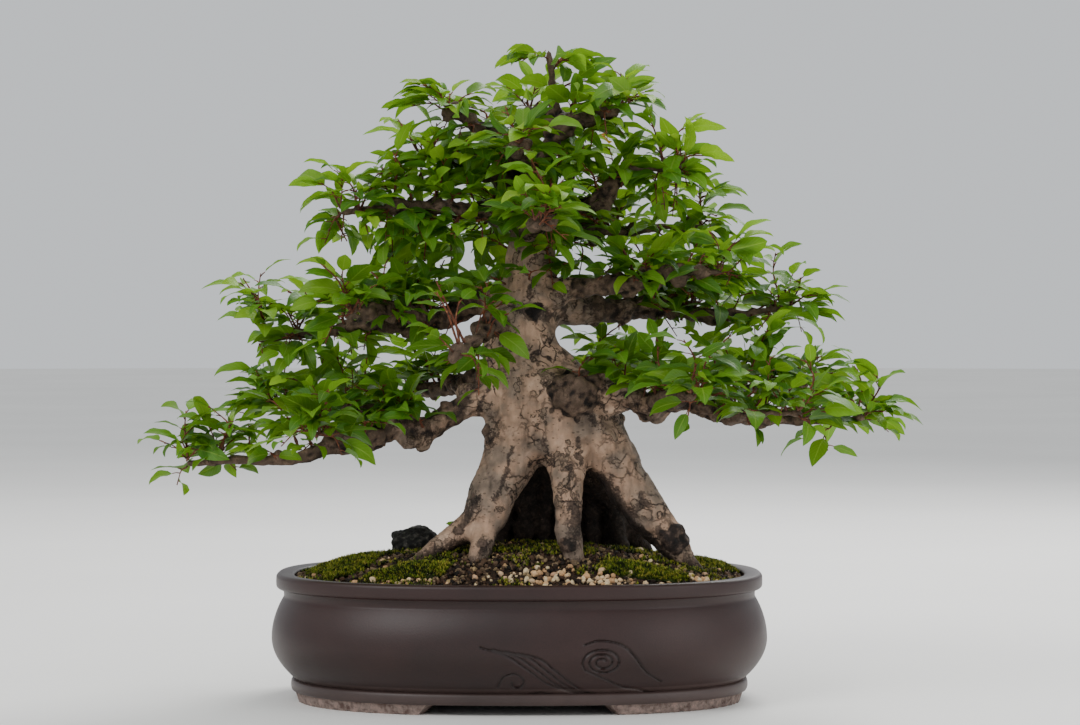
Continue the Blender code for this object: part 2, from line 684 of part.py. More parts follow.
def make_pad_mesh(name, half_x, half_y, rise, seed):
    """An open dome with a lobed outline, which Solidify turns into a shell."""
    model = bmesh.new()
    bmesh.ops.create_uvsphere(model, u_segments=10, v_segments=6, radius=1.0)
    lower = [point for point in model.verts if point.co.z < -0.01]
    bmesh.ops.delete(model, geom=lower, context="VERTS")
    for point in model.verts:
        lobe = 1 + 0.16 * noise.noise(Vector((point.co.x * 1.3, point.co.y * 1.3, seed * 3.7)))
        lift = 0.25 * noise.noise(Vector((point.co.x * 1.6, point.co.y * 1.6, seed * 5.1 + 9)))
        x, y, z = point.co
        point.co = Vector((half_x * x * lobe, half_y * y * lobe, rise * (z + lift)))
    mesh = bpy.data.meshes.new(name)
    bmesh.ops.recalc_face_normals(model, faces=model.faces)
    model.to_mesh(mesh)
    model.free()
    return mesh


def come_down(pad, trees):
    """Lowers the pad from above until only the seat gap is left under it."""
    mesh = evaluated_mesh(pad)

    def blocked(height):
        shift = Vector((pad.location.x, pad.location.y, height))
        here = solid_tree(mesh, shift)
        return any(here.overlap(tree) for tree in trees)

    step = 0.002
    high = pad.location.z + 2 * step
    while blocked(high):
        high += step
    low = high
    floor = pad.location.z - MOST_DROP
    while not blocked(low) and low > floor:
        high = low
        low -= step
    for _ in range(6):
        middle = (high + low) / 2
        if blocked(middle):
            low = middle
        else:
            high = middle
    pad.location.z = high + SEAT_GAP
    shift = Vector(pad.location)
    trees.append(solid_tree(mesh, shift))


def make_foliage(parts, wood):
    """Shells that stand for the leaves, each seated on the branches or the pads below it."""
    trees = [solid_tree(wood.data)]
    seed = 0
    for tier, pads in FOLIAGE.items():
        for index, (x, y, z, half_x, half_y, rise) in enumerate(pads):
            seed += 1
            name = f"foliage_{tier}_{index + 1}"
            wide = TREE_SPREAD / TABLE_SPREAD / 1000
            tall = TREE_HEIGHT / TABLE_HEIGHT / 1000
            spread = PAD_FULLNESS * wide
            mesh = make_pad_mesh(name, half_x * spread, half_y * spread, rise * PAD_RISE * tall, seed)
            pad = place(name, mesh, "leaves", parts, 70)
            pad.location = tree_point(x, y, z)
            wall = pad.modifiers.new("wall", "SOLIDIFY")
            wall.thickness = PAD_WALL
            wall.offset = -1.0
            come_down(pad, trees)


def main():
    clear_scene()
    parts = collection("bonsai_in_pot")
    cutters = collection("cutters")
    make_pot(parts, cutters)
    make_drain_fittings(parts)
    make_drainage_layer(parts, cutters)
    soil = make_soil(parts)
    rock = make_rock(parts)
    make_moss(parts)
    wood = make_wood(parts, cutters)
    for piece in (wood, rock):
        cut(soil, seat_cutter(piece, cutters))
    make_foliage(parts, wood)
    stand = bpy.data.objects.new("bonsai", None)
    parts.objects.link(stand)
    stand.location = (POT_MIDDLE_X, POT_MIDDLE_Y, 0)
    for thing in list(parts.objects) + list(cutters.objects):
        if thing is not stand:
            thing.parent = stand


main()
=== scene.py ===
"""Looks of a bonsai tree in a shallow oval stoneware pot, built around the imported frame.

Metres, +Z up, +X along the pot's length, +Y away from the tree's front. Every piece takes its place from the
frame: the boxes of the pot, the soil and the foliage pads, and the meshes of the wood, soil, rock and moss.
"""

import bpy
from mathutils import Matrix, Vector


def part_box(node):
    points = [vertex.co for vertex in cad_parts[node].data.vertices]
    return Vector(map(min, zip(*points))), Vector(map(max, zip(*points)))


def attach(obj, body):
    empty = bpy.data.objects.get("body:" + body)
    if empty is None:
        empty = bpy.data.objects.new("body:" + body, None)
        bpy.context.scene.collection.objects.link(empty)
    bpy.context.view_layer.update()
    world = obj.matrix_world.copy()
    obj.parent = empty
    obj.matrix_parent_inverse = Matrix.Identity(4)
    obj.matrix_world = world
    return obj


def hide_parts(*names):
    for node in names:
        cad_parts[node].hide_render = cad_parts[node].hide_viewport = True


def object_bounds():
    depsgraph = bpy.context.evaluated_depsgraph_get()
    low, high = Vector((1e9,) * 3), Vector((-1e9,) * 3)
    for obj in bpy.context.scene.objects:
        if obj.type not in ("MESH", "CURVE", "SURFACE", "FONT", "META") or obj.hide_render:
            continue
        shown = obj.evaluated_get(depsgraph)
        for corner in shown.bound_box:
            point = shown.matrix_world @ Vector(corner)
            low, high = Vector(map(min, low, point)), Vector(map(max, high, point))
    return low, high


bl_info = {
    "name": "Bonsai in a pot",
    "version": (1, 0, 0),
    "blender": (4, 5, 0),
    "location": "View3D > Sidebar > Bonsai",
    "description": "Bark, leaves, twigs, soil, moss and stoneware for the framed bonsai",
    "category": "Add Mesh",
}

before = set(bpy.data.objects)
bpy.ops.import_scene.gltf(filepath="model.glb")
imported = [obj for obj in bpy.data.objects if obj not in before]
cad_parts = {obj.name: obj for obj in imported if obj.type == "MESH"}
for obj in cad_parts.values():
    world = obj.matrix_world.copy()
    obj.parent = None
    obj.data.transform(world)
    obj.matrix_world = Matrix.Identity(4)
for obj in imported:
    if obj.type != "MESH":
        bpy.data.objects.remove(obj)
CAD_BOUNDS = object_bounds()

from math import cos, exp, hypot, pi, radians, sin

import bmesh
import bpy
import numpy as np
from mathutils import Matrix, Vector, noise
from mathutils.bvhtree import BVHTree

BODY = "root"
UP = Vector((0.0, 0.0, 1.0))
POT_LOW, POT_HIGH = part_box("pot")
POT_MIDDLE = (POT_LOW + POT_HIGH) / 2
SOIL_LOW, SOIL_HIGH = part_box("soil")
WOOD_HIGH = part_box("wood")[1]
# The pot's belly stands this far outside its lip, and its plan is a rounded oval of this power.
BELLY_OUT = 0.004
PLAN_POWER = 2.45
# The trunk's axis, and the middle of its roots, stand this far along x from the pot's middle.
TRUNK_SHIFT = 0.012
ROOTS_SHIFT = 0.016
# A turn by this angle from each thing to the next spreads them evenly over a disc.
GOLDEN_TURN = 2.39996


# ---------------------------------------------------------------- small tools


def linear(hex_colour, alpha=1.0):
    """A Blender colour from an sRGB hex value."""
    channels = []
    for start in (1, 3, 5):
        value = int(hex_colour[start:start + 2], 16) / 255
        channels.append(value / 12.92 if value <= 0.04045 else ((value + 0.055) / 1.055) ** 2.4)
    return (*channels, alpha)


def add(tree, kind, links=None, stops=None, **settings):
    """Adds one node: settings are its properties, and stops a ramp's colours.

    Each of its inputs is a socket, a node whose first output it takes, or a value.
    """
    made = tree.nodes.new(f"ShaderNode{kind}")
    for name, value in settings.items():
        setattr(made, name, value)
    for key, value in (links or {}).items():
        if isinstance(value, bpy.types.Node):
            value = value.outputs[0]
        if isinstance(value, bpy.types.NodeSocket):
            tree.links.new(value, made.inputs[key])
        else:
            made.inputs[key].default_value = value
    if stops:
        elements = made.color_ramp.elements
        while len(elements) < len(stops):
            elements.new(0.5)
        for element, (position, colour) in zip(elements, stops):
            element.position = position
            if isinstance(colour, str):
                colour = linear(colour)
            element.color = (colour, colour, colour, 1.0) if isinstance(colour, float) else colour
    return made


def new_material(name):
    """An empty node tree with an output, and the material that holds it."""
    made = bpy.data.materials.new(name)
    made.use_nodes = True
    made.node_tree.nodes.clear()
    return made, made.node_tree


def finish_material(made, surface):
    """Leads this surface to the material's output."""
    add(made.node_tree, "OutputMaterial", {"Surface": surface})
    return made


def per_metre(width):
    """A pattern's scale, to a tenth, from the width in mm of what it repeats."""
    return round(1000 / width, 1)


def smoothstep(low, high, value):
    """0 up to low, 1 from high on, and an eased rise between them."""
    share = np.clip((np.asarray(value) - low) / (high - low), 0, 1)
    return share * share * (3 - 2 * share)


def placed(name, data):
    """A new object in the scene that shows this mesh, light or camera."""
    made = bpy.data.objects.new(name, data)
    bpy.context.scene.collection.objects.link(made)
    return made


def make_object(name, points, faces, finish, smooth=True):
    """An object from an array of points and a list of faces."""
    mesh = bpy.data.meshes.new(name)
    mesh.from_pydata(np.asarray(points).tolist(), [], faces.tolist() if hasattr(faces, "tolist") else faces)
    mesh.materials.append(finish)
    if smooth:
        mesh.shade_smooth()
    mesh.update()
    return placed(name, mesh)


def paint(piece, name, colours):
    """Stores four numbers for each point of the piece, which its material reads."""
    store = piece.data.attributes.new(name, "FLOAT_COLOR", "POINT")
    store.data.foreach_set("color", np.asarray(colours, np.float32).ravel())


def arrays_of(mesh):
    """Points and triangles of a mesh as arrays."""
    points = np.empty(len(mesh.vertices) * 3, np.float32)
    mesh.vertices.foreach_get("co", points)
    mesh.calc_loop_triangles()
    faces = np.empty(len(mesh.loop_triangles) * 3, np.int32)
    mesh.loop_triangles.foreach_get("vertices", faces)
    return points.reshape(-1, 3).astype(float), faces.reshape(-1, 3)


def normals_of(mesh):
    """The normal at each point of a mesh."""
    normals = np.empty(len(mesh.vertices) * 3, np.float32)
    mesh.vertices.foreach_get("normal", normals)
    return normals.reshape(-1, 3).astype(float)


def surface_tree(mesh):
    """A search tree of a mesh's surface."""
    points, faces = arrays_of(mesh)
    return BVHTree.FromPolygons(points.tolist(), faces.tolist())


def evaluated(thing):
    """A new mesh of the object with its modifiers applied."""
    bpy.context.view_layer.update()
    graph = bpy.context.evaluated_depsgraph_get()
    return bpy.data.meshes.new_from_object(thing.evaluated_get(graph), depsgraph=graph)


def melt(name, source, voxel, passes, extra=()):
    """A copy of a frame mesh melted together with extra ones, its even skin eased by so many passes."""
    model = bmesh.new()
    model.from_mesh(source)
    bmesh.ops.remove_doubles(model, verts=model.verts, dist=1e-5)
    for mesh in extra:
        model.from_mesh(mesh)
    mesh = bpy.data.meshes.new(name)
    model.to_mesh(mesh)
    model.free()
    thing = placed(name, mesh)
    step = thing.modifiers.new("skin", "REMESH")
    step.mode = "VOXEL"
    step.voxel_size = voxel
    ease = thing.modifiers.new("ease", "SMOOTH")
    ease.factor = 0.5
    ease.iterations = passes
    made = evaluated(thing)
    bpy.data.objects.remove(thing)
    made.name = name
    return made


def show_melted(name, mesh, points, finish):
    """The piece that a melted mesh becomes once its points have moved to these, with its one finish."""
    mesh.vertices.foreach_set("co", points.astype(np.float32).ravel())
    mesh.materials.clear()
    mesh.materials.append(finish)
    mesh.shade_smooth()
    mesh.update()
    return placed(name, mesh)


def spread_over_edges(mesh, values, passes):
    """Averages a number along the mesh's edges, so many times."""
    edges = np.empty(len(mesh.edges) * 2, np.int32)
    mesh.edges.foreach_get("vertices", edges)
    edges = edges.reshape(-1, 2)
    count = np.ones(len(values))
    np.add.at(count, edges[:, 0], 1)
    np.add.at(count, edges[:, 1], 1)
    for _ in range(passes):
        total = values.copy()
        np.add.at(total, edges[:, 0], values[edges[:, 1]])
        np.add.at(total, edges[:, 1], values[edges[:, 0]])
        values = total / count
    return values


def tube(path, radii, sides=6):
    """Points and faces of a closed tapering tube along a path."""
    path = [Vector(point) for point in path]
    points, faces = [], []
    side = Vector((0.3, 0.7, 0.6))
    for index, (centre, radius) in enumerate(zip(path, radii)):
        ahead = path[min(index + 1, len(path) - 1)] - path[max(index - 1, 0)]
        ahead.normalize()
        side = (side - ahead * side.dot(ahead)).normalized()
        other = ahead.cross(side)
        for turn in range(sides):
            angle = 2 * pi * turn / sides
            points.append(centre + (side * cos(angle) + other * sin(angle)) * radius)
    for index in range(len(path) - 1):
        for turn in range(sides):
            after = (turn + 1) % sides
            low, high = index * sides, (index + 1) * sides
            faces.append((low + turn, low + after, high + after, high + turn))
    faces.append(tuple(range(sides - 1, -1, -1)))
    top = (len(path) - 1) * sides
    faces.append(tuple(range(top, top + sides)))
    return points, faces


class Gather:
    """Collects the points, faces and painted numbers of many small shapes into one piece."""

    def __init__(self):
        self.points, self.faces, self.colours = [], [], []
        self.count = 0

    def take(self, points, faces, colours):
        self.points.append(np.asarray(points, float).reshape(-1, 3))
        self.faces.extend([tuple(corner + self.count for corner in face) for face in faces])
        colours = np.asarray(colours, float)
        if colours.ndim == 1:
            colours = np.tile(colours, (len(points), 1))
        self.colours.append(colours)
        self.count += len(points)

    def make(self, name, finish, attribute):
        piece = make_object(name, np.concatenate(self.points), self.faces, finish)
        paint(piece, attribute, np.concatenate(self.colours))
        return piece


def curve_through(points, steps):
    """Points on a smooth curve through the given ones (Catmull-Rom)."""
    points = [Vector(point) for point in points]
    padded = [points[0] * 2 - points[1]] + points + [points[-1] * 2 - points[-2]]
    made = []
    for index in range(len(points) - 1):
        p0, p1, p2, p3 = padded[index:index + 4]
        for step in range(steps):
            t = step / steps
            made.append(
                0.5 * (2 * p1 + (p2 - p0) * t + (2 * p0 - 5 * p1 + 4 * p2 - p3) * t**2
                       + (3 * p1 - p0 - 3 * p2 + p3) * t**3)
            )
    made.append(points[-1])
    return made


def sqrt_share(number, count):
    """How far out the numbered thing stands, so that they cover a disc evenly."""
    return (number / count) ** 0.5


def ride_as(piece, slot, *nodes):
    """The piece rides on the one body and stands for these frame nodes, which it hides; the slot is not
    used.
    """
    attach(piece, BODY)
    if nodes:
        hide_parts(*nodes)


def tree_place(x, y, z):
    """A point given in millimetres from the pot's middle and its foot."""
    return np.array((POT_MIDDLE.x + x / 1000, POT_MIDDLE.y + y / 1000, z / 1000))


# ---------------------------------------------------------------- materials


def bark_material(name, colours):
    """Bark: mottled pale skin with flaking plate edges and cork dots, dark and knobbly on the branches.

    The paint holds how old the wood is, its stains together with painted shade, its cracks together with
    painted shade in crevices and arches, and how far it stands out.
    """
    made, tree = new_material(name)
    place = add(tree, "TexCoord").outputs["Object"]
    paint_node = add(tree, "Attribute", attribute_name="wood")
    split = add(tree, "SeparateColor", {"Color": paint_node})
    # The stain and crack channels also carry painted shade in the arches, on undersides, on the back roots
    # and in crevices.
    old, stain, crack = split.outputs
    ridge = paint_node.outputs["Alpha"]
    # Broad grey, tan and greenish patches, as a flaking trunk has.
    broad = add(
        tree, "TexNoise", {"Vector": place, "Scale": per_metre(38.46), "Detail": 5.0, "Roughness": 0.6},
    )
    skin = add(
        tree, "ValToRGB", {"Fac": broad},
        stops=[(0.30, "#63564b"), (0.44, colours.bark_grey), (0.56, colours.bark_tan),
               (0.72, colours.bark_pale)],
    )
    # Old scales stay on as darker grey-brown islands with thin black rims.
    island_place = add(tree, "Mapping", {"Vector": place, "Location": (0.31, 0.17, 0.05)})
    island = add(
        tree, "TexNoise",
        {"Vector": island_place, "Scale": per_metre(25.0), "Detail": 5.0, "Roughness": 0.62},
    )
    island_fill = add(tree, "ValToRGB", {"Fac": island}, stops=[(0.585, 0.0), (0.61, 0.6), (0.80, 0.78)])
    island_rim = add(
        tree, "ValToRGB", {"Fac": island}, stops=[(0.572, 0.0), (0.587, 0.8), (0.595, 0.8), (0.612, 0.0)],
    )
    streak_place = add(tree, "Mapping", {"Vector": place, "Scale": (1.0, 1.0, 0.28)})
    streak = add(tree, "TexNoise", {"Vector": streak_place, "Scale": per_metre(5.263), "Detail": 4.0})
    streak_part = add(
        tree, "MapRange",
        {"Value": streak, "From Min": 0.3, "From Max": 0.7, "To Min": 0.74, "To Max": 1.2},
    )
    warp = add(tree, "TexNoise", {"Vector": place, "Scale": per_metre(14.286), "Detail": 3.0})
    pushed = add(
        tree, "MixRGB", {"Fac": 0.016, "Color1": place, "Color2": warp.outputs["Color"]},
        blend_type="LINEAR_LIGHT",
    )
    plates = add(
        tree, "TexVoronoi", {"Vector": pushed, "Scale": per_metre(16.129)}, feature="DISTANCE_TO_EDGE",
    )
    where = add(tree, "TexNoise", {"Vector": place, "Scale": per_metre(29.41), "Detail": 2.0})
    edge = add(tree, "ValToRGB", {"Fac": plates}, stops=[(0.0, 1.0), (0.035, 0.75), (0.09, 0.0)])
    some = add(tree, "ValToRGB", {"Fac": where}, stops=[(0.46, 0.0), (0.60, 1.0)])
    lines = add(tree, "Math", {0: edge, 1: some}, operation="MULTIPLY")
    # Cork dots and short dashes, a millimetre or so across.
    squashed = add(tree, "Mapping", {"Vector": place, "Scale": (1.0, 1.0, 1.9)})
    dots = add(tree, "TexVoronoi", {"Vector": squashed, "Scale": per_metre(4.0), "Randomness": 1.0})
    dot_colour = add(tree, "SeparateColor", {"Color": dots.outputs["Color"]})
    dot_size = add(
        tree, "MapRange",
        {"Value": dot_colour.outputs[0], "From Min": 0.50, "From Max": 1.0, "To Max": 0.36},
    )
    dot = add(tree, "Math", {0: dots, 1: dot_size}, operation="LESS_THAN")
    dot_part = add(tree, "Math", {0: dot, 1: 0.55}, operation="MULTIPLY")
    # Branch bark: near black in its folds, grey-brown on its swellings.
    rough = add(
        tree, "TexNoise", {"Vector": place, "Scale": per_metre(6.667), "Detail": 6.0, "Roughness": 0.65},
    )
    branch = add(
        tree, "ValToRGB", {"Fac": rough},
        stops=[(0.34, "#120d0b"), (0.48, colours.branch_dark), (0.62, colours.branch_light),
               (0.76, "#8a7260")],
    )
    age_edge = add(tree, "Math", {0: rough, 1: 0.5}, operation="SUBTRACT")
    age_more = add(tree, "Math", {0: age_edge, 1: 0.9, 2: old}, operation="MULTIPLY_ADD")
    age = add(tree, "ValToRGB", {"Fac": age_more}, stops=[(0.38, 0.0), (0.62, 1.0)])
    streaked = add(tree, "VectorMath", {0: skin, "Scale": streak_part}, operation="SCALE")
    scaled = add(tree, "MixRGB", {"Fac": island_fill, "Color1": streaked, "Color2": colours.bark_scale})
    rimmed = add(tree, "MixRGB", {"Fac": island_rim, "Color1": scaled, "Color2": linear("#2a211c")})
    dotted = add(tree, "MixRGB", {"Fac": dot_part, "Color1": rimmed, "Color2": linear("#33271f")})
    lined = add(tree, "MixRGB", {"Fac": lines, "Color1": dotted, "Color2": linear("#241b17")})
    both = add(tree, "MixRGB", {"Fac": age, "Color1": branch, "Color2": lined})
    # Stains and painted shade are crumbly: specks of the bark below show through, and only deep painted
    # shade is fully black.
    crumbs = add(
        tree, "TexNoise", {"Vector": place, "Scale": per_metre(1.923), "Detail": 3.0, "Roughness": 0.7},
    )
    crumb_edge = add(tree, "Math", {0: crumbs, 1: 0.5}, operation="SUBTRACT")
    crumbled = add(tree, "Math", {0: crumb_edge, 1: 1.5, 2: stain}, operation="MULTIPLY_ADD")
    stain_and_shade_edge = add(tree, "Math", {0: age_edge, 1: 2.2, 2: crumbled}, operation="MULTIPLY_ADD")
    stain_and_shade_part = add(tree, "ValToRGB", {"Fac": stain_and_shade_edge}, stops=[(0.34, 0.0), (0.58, 0.74), (0.95, 0.94)])
    stain_and_shade_tone = add(
        tree, "ValToRGB", {"Fac": rough}, stops=[(0.36, "#0f0b0a"), (0.52, "#2a201c"), (0.68, "#655347")],
    )
    stained_and_shaded = add(tree, "MixRGB", {"Fac": stain_and_shade_part, "Color1": both, "Color2": stain_and_shade_tone})
    worn = add(tree, "MixRGB", {"Fac": ridge, "Color1": stained_and_shaded, "Color2": linear("#75604f")})
    # Cracks, painted crevice shade and painted shade in the arches go near black here.
    deep = add(tree, "MixRGB", {"Fac": crack, "Color1": worn, "Color2": linear("#120e0c")})
    grain = add(
        tree, "TexNoise", {"Vector": place, "Scale": per_metre(2.381), "Detail": 4.0, "Roughness": 0.6},
    )
    fine = add(tree, "Bump", {"Height": grain, "Strength": 0.55, "Distance": 0.0012})
    carved = add(tree, "Math", {0: lines, 1: island_rim}, operation="MAXIMUM")
    line_low = add(tree, "Math", {0: carved, 1: -1.0}, operation="MULTIPLY")
    cut = add(tree, "Bump", {"Height": line_low, "Normal": fine, "Strength": 0.8, "Distance": 0.0012})
    folds = add(tree, "Bump", {"Height": rough, "Normal": cut, "Strength": 0.5, "Distance": 0.0025})
    dull = add(tree, "MapRange", {"Value": grain, "To Min": 0.62, "To Max": 0.95})
    shader = add(
        tree, "BsdfPrincipled",
        {"Base Color": deep, "Roughness": dull, "Normal": folds, "Specular IOR Level": 0.3},
    )
    return finish_material(made, shader)


def leaf_material(name, colours):
    """Leaf: a satin blade with a pale midrib and side veins, which lets light from behind glow through.

    The paint holds the way along the blade, the way across it, the leaf's own number and its youth, which
    also carries painted light: higher leaves lighter, lower and inner ones darker as in shade.
    """
    made, tree = new_material(name)
    paint_node = add(tree, "Attribute", attribute_name="blade")
    split = add(tree, "SeparateColor", {"Color": paint_node})
    along, across, own = split.outputs
    young = paint_node.outputs["Alpha"]
    place = add(tree, "TexCoord").outputs["Object"]
    green = add(
        tree, "ValToRGB", {"Fac": young},
        stops=[(0.0, colours.leaf_dark), (0.38, colours.leaf_green), (0.72, colours.leaf_fresh),
               (0.93, "#86ab28"), (1.0, "#b06a1c")],
    )
    off = add(tree, "Math", {0: across, 1: 0.5}, operation="SUBTRACT")
    away = add(tree, "Math", {0: off}, operation="ABSOLUTE")
    # Side veins leave the midrib forwards, about eight on each side.
    lean = add(tree, "Math", {0: away, 1: -0.55, 2: along}, operation="MULTIPLY_ADD")
    many = add(tree, "Math", {0: lean, 1: 8.0}, operation="MULTIPLY")
    part = add(tree, "Math", {0: many}, operation="FRACT")
    side = add(tree, "ValToRGB", {"Fac": part}, stops=[(0.0, 1.0), (0.12, 0.0), (0.9, 0.0), (1.0, 1.0)])
    midrib = add(tree, "ValToRGB", {"Fac": away}, stops=[(0.0, 1.0), (0.02, 0.85), (0.05, 0.0)])
    veins = add(tree, "Math", {0: side, 1: 0.42, 2: midrib}, operation="MULTIPLY_ADD", use_clamp=True)
    mottle = add(tree, "TexNoise", {"Vector": place, "Scale": per_metre(10.526), "Detail": 3.0})
    shade = add(tree, "MapRange", {"Value": mottle, "To Min": 0.72, "To Max": 1.28})
    own_shade = add(tree, "MapRange", {"Value": own, "To Min": 0.8, "To Max": 1.2})
    light = add(tree, "Math", {0: shade, 1: own_shade}, operation="MULTIPLY")
    varied = add(tree, "VectorMath", {0: green, "Scale": light}, operation="SCALE")
    vein_part = add(tree, "Math", {0: veins, 1: 0.45}, operation="MULTIPLY")
    blade = add(tree, "MixRGB", {"Fac": vein_part, "Color1": varied, "Color2": colours.leaf_vein})
    ridges = add(tree, "Math", {0: veins, 1: -1.0}, operation="MULTIPLY")
    relief = add(tree, "Bump", {"Height": ridges, "Strength": 0.5, "Distance": 0.0006})
    dull = add(tree, "MapRange", {"Value": mottle, "To Min": 0.38, "To Max": 0.58})
    face = add(
        tree, "BsdfPrincipled",
        {"Base Color": blade, "Roughness": dull, "Normal": relief, "Specular IOR Level": 0.36},
    )
    warm = add(tree, "MixRGB", {"Fac": 0.5, "Color1": blade, "Color2": linear("#a9d92a")})
    through = add(tree, "BsdfTranslucent", {"Color": warm})
    both = add(tree, "MixShader", {"Fac": 0.34, 1: face, 2: through})
    return finish_material(made, both)


def twig_material(name, colours):
    """Young twig bark: red-brown skin with pale dots on old, grey-brown knobbly sub-branches."""
    made, tree = new_material(name)
    place = add(tree, "TexCoord").outputs["Object"]
    paint_node = add(tree, "Attribute", attribute_name="wood")
    split = add(tree, "SeparateColor", {"Color": paint_node})
    rough = add(
        tree, "TexNoise", {"Vector": place, "Scale": per_metre(3.846), "Detail": 5.0, "Roughness": 0.62},
    )
    old = add(
        tree, "ValToRGB", {"Fac": rough},
        stops=[(0.32, "#1b1411"), (0.50, colours.branch_dark), (0.66, colours.branch_light)],
    )
    fresh = add(
        tree, "ValToRGB", {"Fac": rough},
        stops=[(0.35, "#4a2417"), (0.6, colours.twig_red), (0.75, "#a87a50")],
    )
    mix = add(tree, "MixRGB", {"Fac": split.outputs[0], "Color1": fresh, "Color2": old})
    bump = add(tree, "Bump", {"Height": rough, "Strength": 0.6, "Distance": 0.0012})
    dull = add(tree, "MapRange", {"Value": rough, "To Min": 0.5, "To Max": 0.9})
    shader = add(
        tree, "BsdfPrincipled",
        {"Base Color": mix, "Roughness": dull, "Normal": bump, "Specular IOR Level": 0.35},
    )
    return finish_material(made, shader)


# ---------------------------------------------------------------- wood

# Burls, knots and hollows: x, y, z of the middle, its radius, how far it swells, all in mm, and its stain,
# which in the one hollow that sinks in is painted shade.
SWELLINGS = [
    (45, -44, 252, 21, 2.0, 0.31), (30, -24, 330, 10, 4.5, 0.05), (12, -24, 318, 8, -5.0, 0.9),
    (-28, -14, 220, 9, 5.5, 0.75), (126, -36, 133, 12, 4.0, 0.95), (40, -56, 128, 8, 2.5, 0.45),
    (-14, -20, 300, 7, 2.0, 0.0), (-22, -34, 152, 8, 2.0, 0.0), (60, -30, 270, 8, 3.0, 0.45),
    (16, 30, 300, 12, 4.0, 0.3), (-20, 26, 240, 12, 5.0, 0.4), (70, 30, 215, 12, 4.0, 0.3),
]
# Dark strokes down the front of the trunk and roots: half width, then x and z along each, in mm.
STROKES = [
    (3.2, [(-5, 206), (-9, 188), (-19, 166)]), (4.5, [(-29, 132), (-30, 122)]),
    (7.5, [(44, 160), (47, 142), (42, 130)]), (7.0, [(70, 182), (80, 160), (94, 136)]),
    (4.5, [(98, 168), (101, 162)]), (9.0, [(118, 138), (132, 132)]),
    (10.0, [(-94, 108), (-66, 118), (-50, 127)]), (6.5, [(-30, 224), (-24, 212)]),
    (5.0, [(-6, 322), (12, 318), (30, 312)]), (2.6, [(-33, 230), (-28, 246), (-24, 258)]),
    (3.0, [(36, 330), (38, 306), (36, 286)]), (4.0, [(58, 240), (64, 226)]),
    (2.4, [(20, 214), (24, 205), (22, 196)]), (3.6, [(-34, 168), (-44, 146), (-50, 138)]),
    (3.0, [(104, 190), (112, 172)]), (2.0, [(50, 214), (46, 204), (50, 196)]),
    (2.4, [(6, 350), (12, 342), (8, 330)]),
]

# Roots that hang behind the arches: points as x, y and z, then the radius, in mm.
BACK_ROOTS = [
    [(6, 26, 216, 9), (-4, 40, 176, 8), (-14, 46, 142, 7), (-20, 48, 108, 5)],
    [(12, 26, 216, 9), (8, 42, 172, 8), (4, 46, 138, 8), (0, 50, 108, 6)],
    [(24, 26, 218, 10), (24, 44, 176, 9), (20, 46, 140, 7), (22, 48, 108, 6)],
    [(38, 26, 218, 10), (42, 42, 172, 9), (40, 46, 140, 8), (42, 48, 108, 6)],
    [(48, 26, 214, 9), (60, 42, 172, 8), (62, 46, 140, 7), (64, 50, 108, 5)],
    [(58, 24, 206, 8), (74, 38, 168, 8), (82, 44, 136, 7), (88, 46, 108, 5)],
    [(8, 36, 200, 7), (-12, 54, 160, 8), (-28, 58, 130, 7), (-34, 62, 108, 5)],
    [(16, 36, 206, 8), (0, 56, 160, 9), (-8, 60, 132, 8), (-10, 62, 108, 7)],
    [(24, 36, 208, 8), (14, 58, 162, 9), (10, 62, 132, 8), (12, 64, 108, 7)],
    [(34, 36, 208, 8), (32, 58, 160, 9), (30, 62, 132, 9), (32, 64, 108, 7)],
    [(44, 36, 208, 8), (52, 56, 160, 9), (52, 60, 132, 8), (53, 64, 108, 7)],
    [(52, 34, 204, 8), (66, 54, 160, 9), (74, 58, 130, 8), (76, 62, 108, 6)],
]

# The burl's middle as x and z, and its radius, in mm, and the knuckles on it and on the branches.
BURL = (45, 252)
BURL_WIDE = 18.0
BURL_KNUCKLES = 24
BRANCH_KNUCKLES = 420


def loose_mesh(points, faces):
    """A mesh that no object shows, to be melted into another."""
    mesh = bpy.data.meshes.new("loose")
    mesh.from_pydata([tuple(point) for point in points], [], faces)
    return mesh


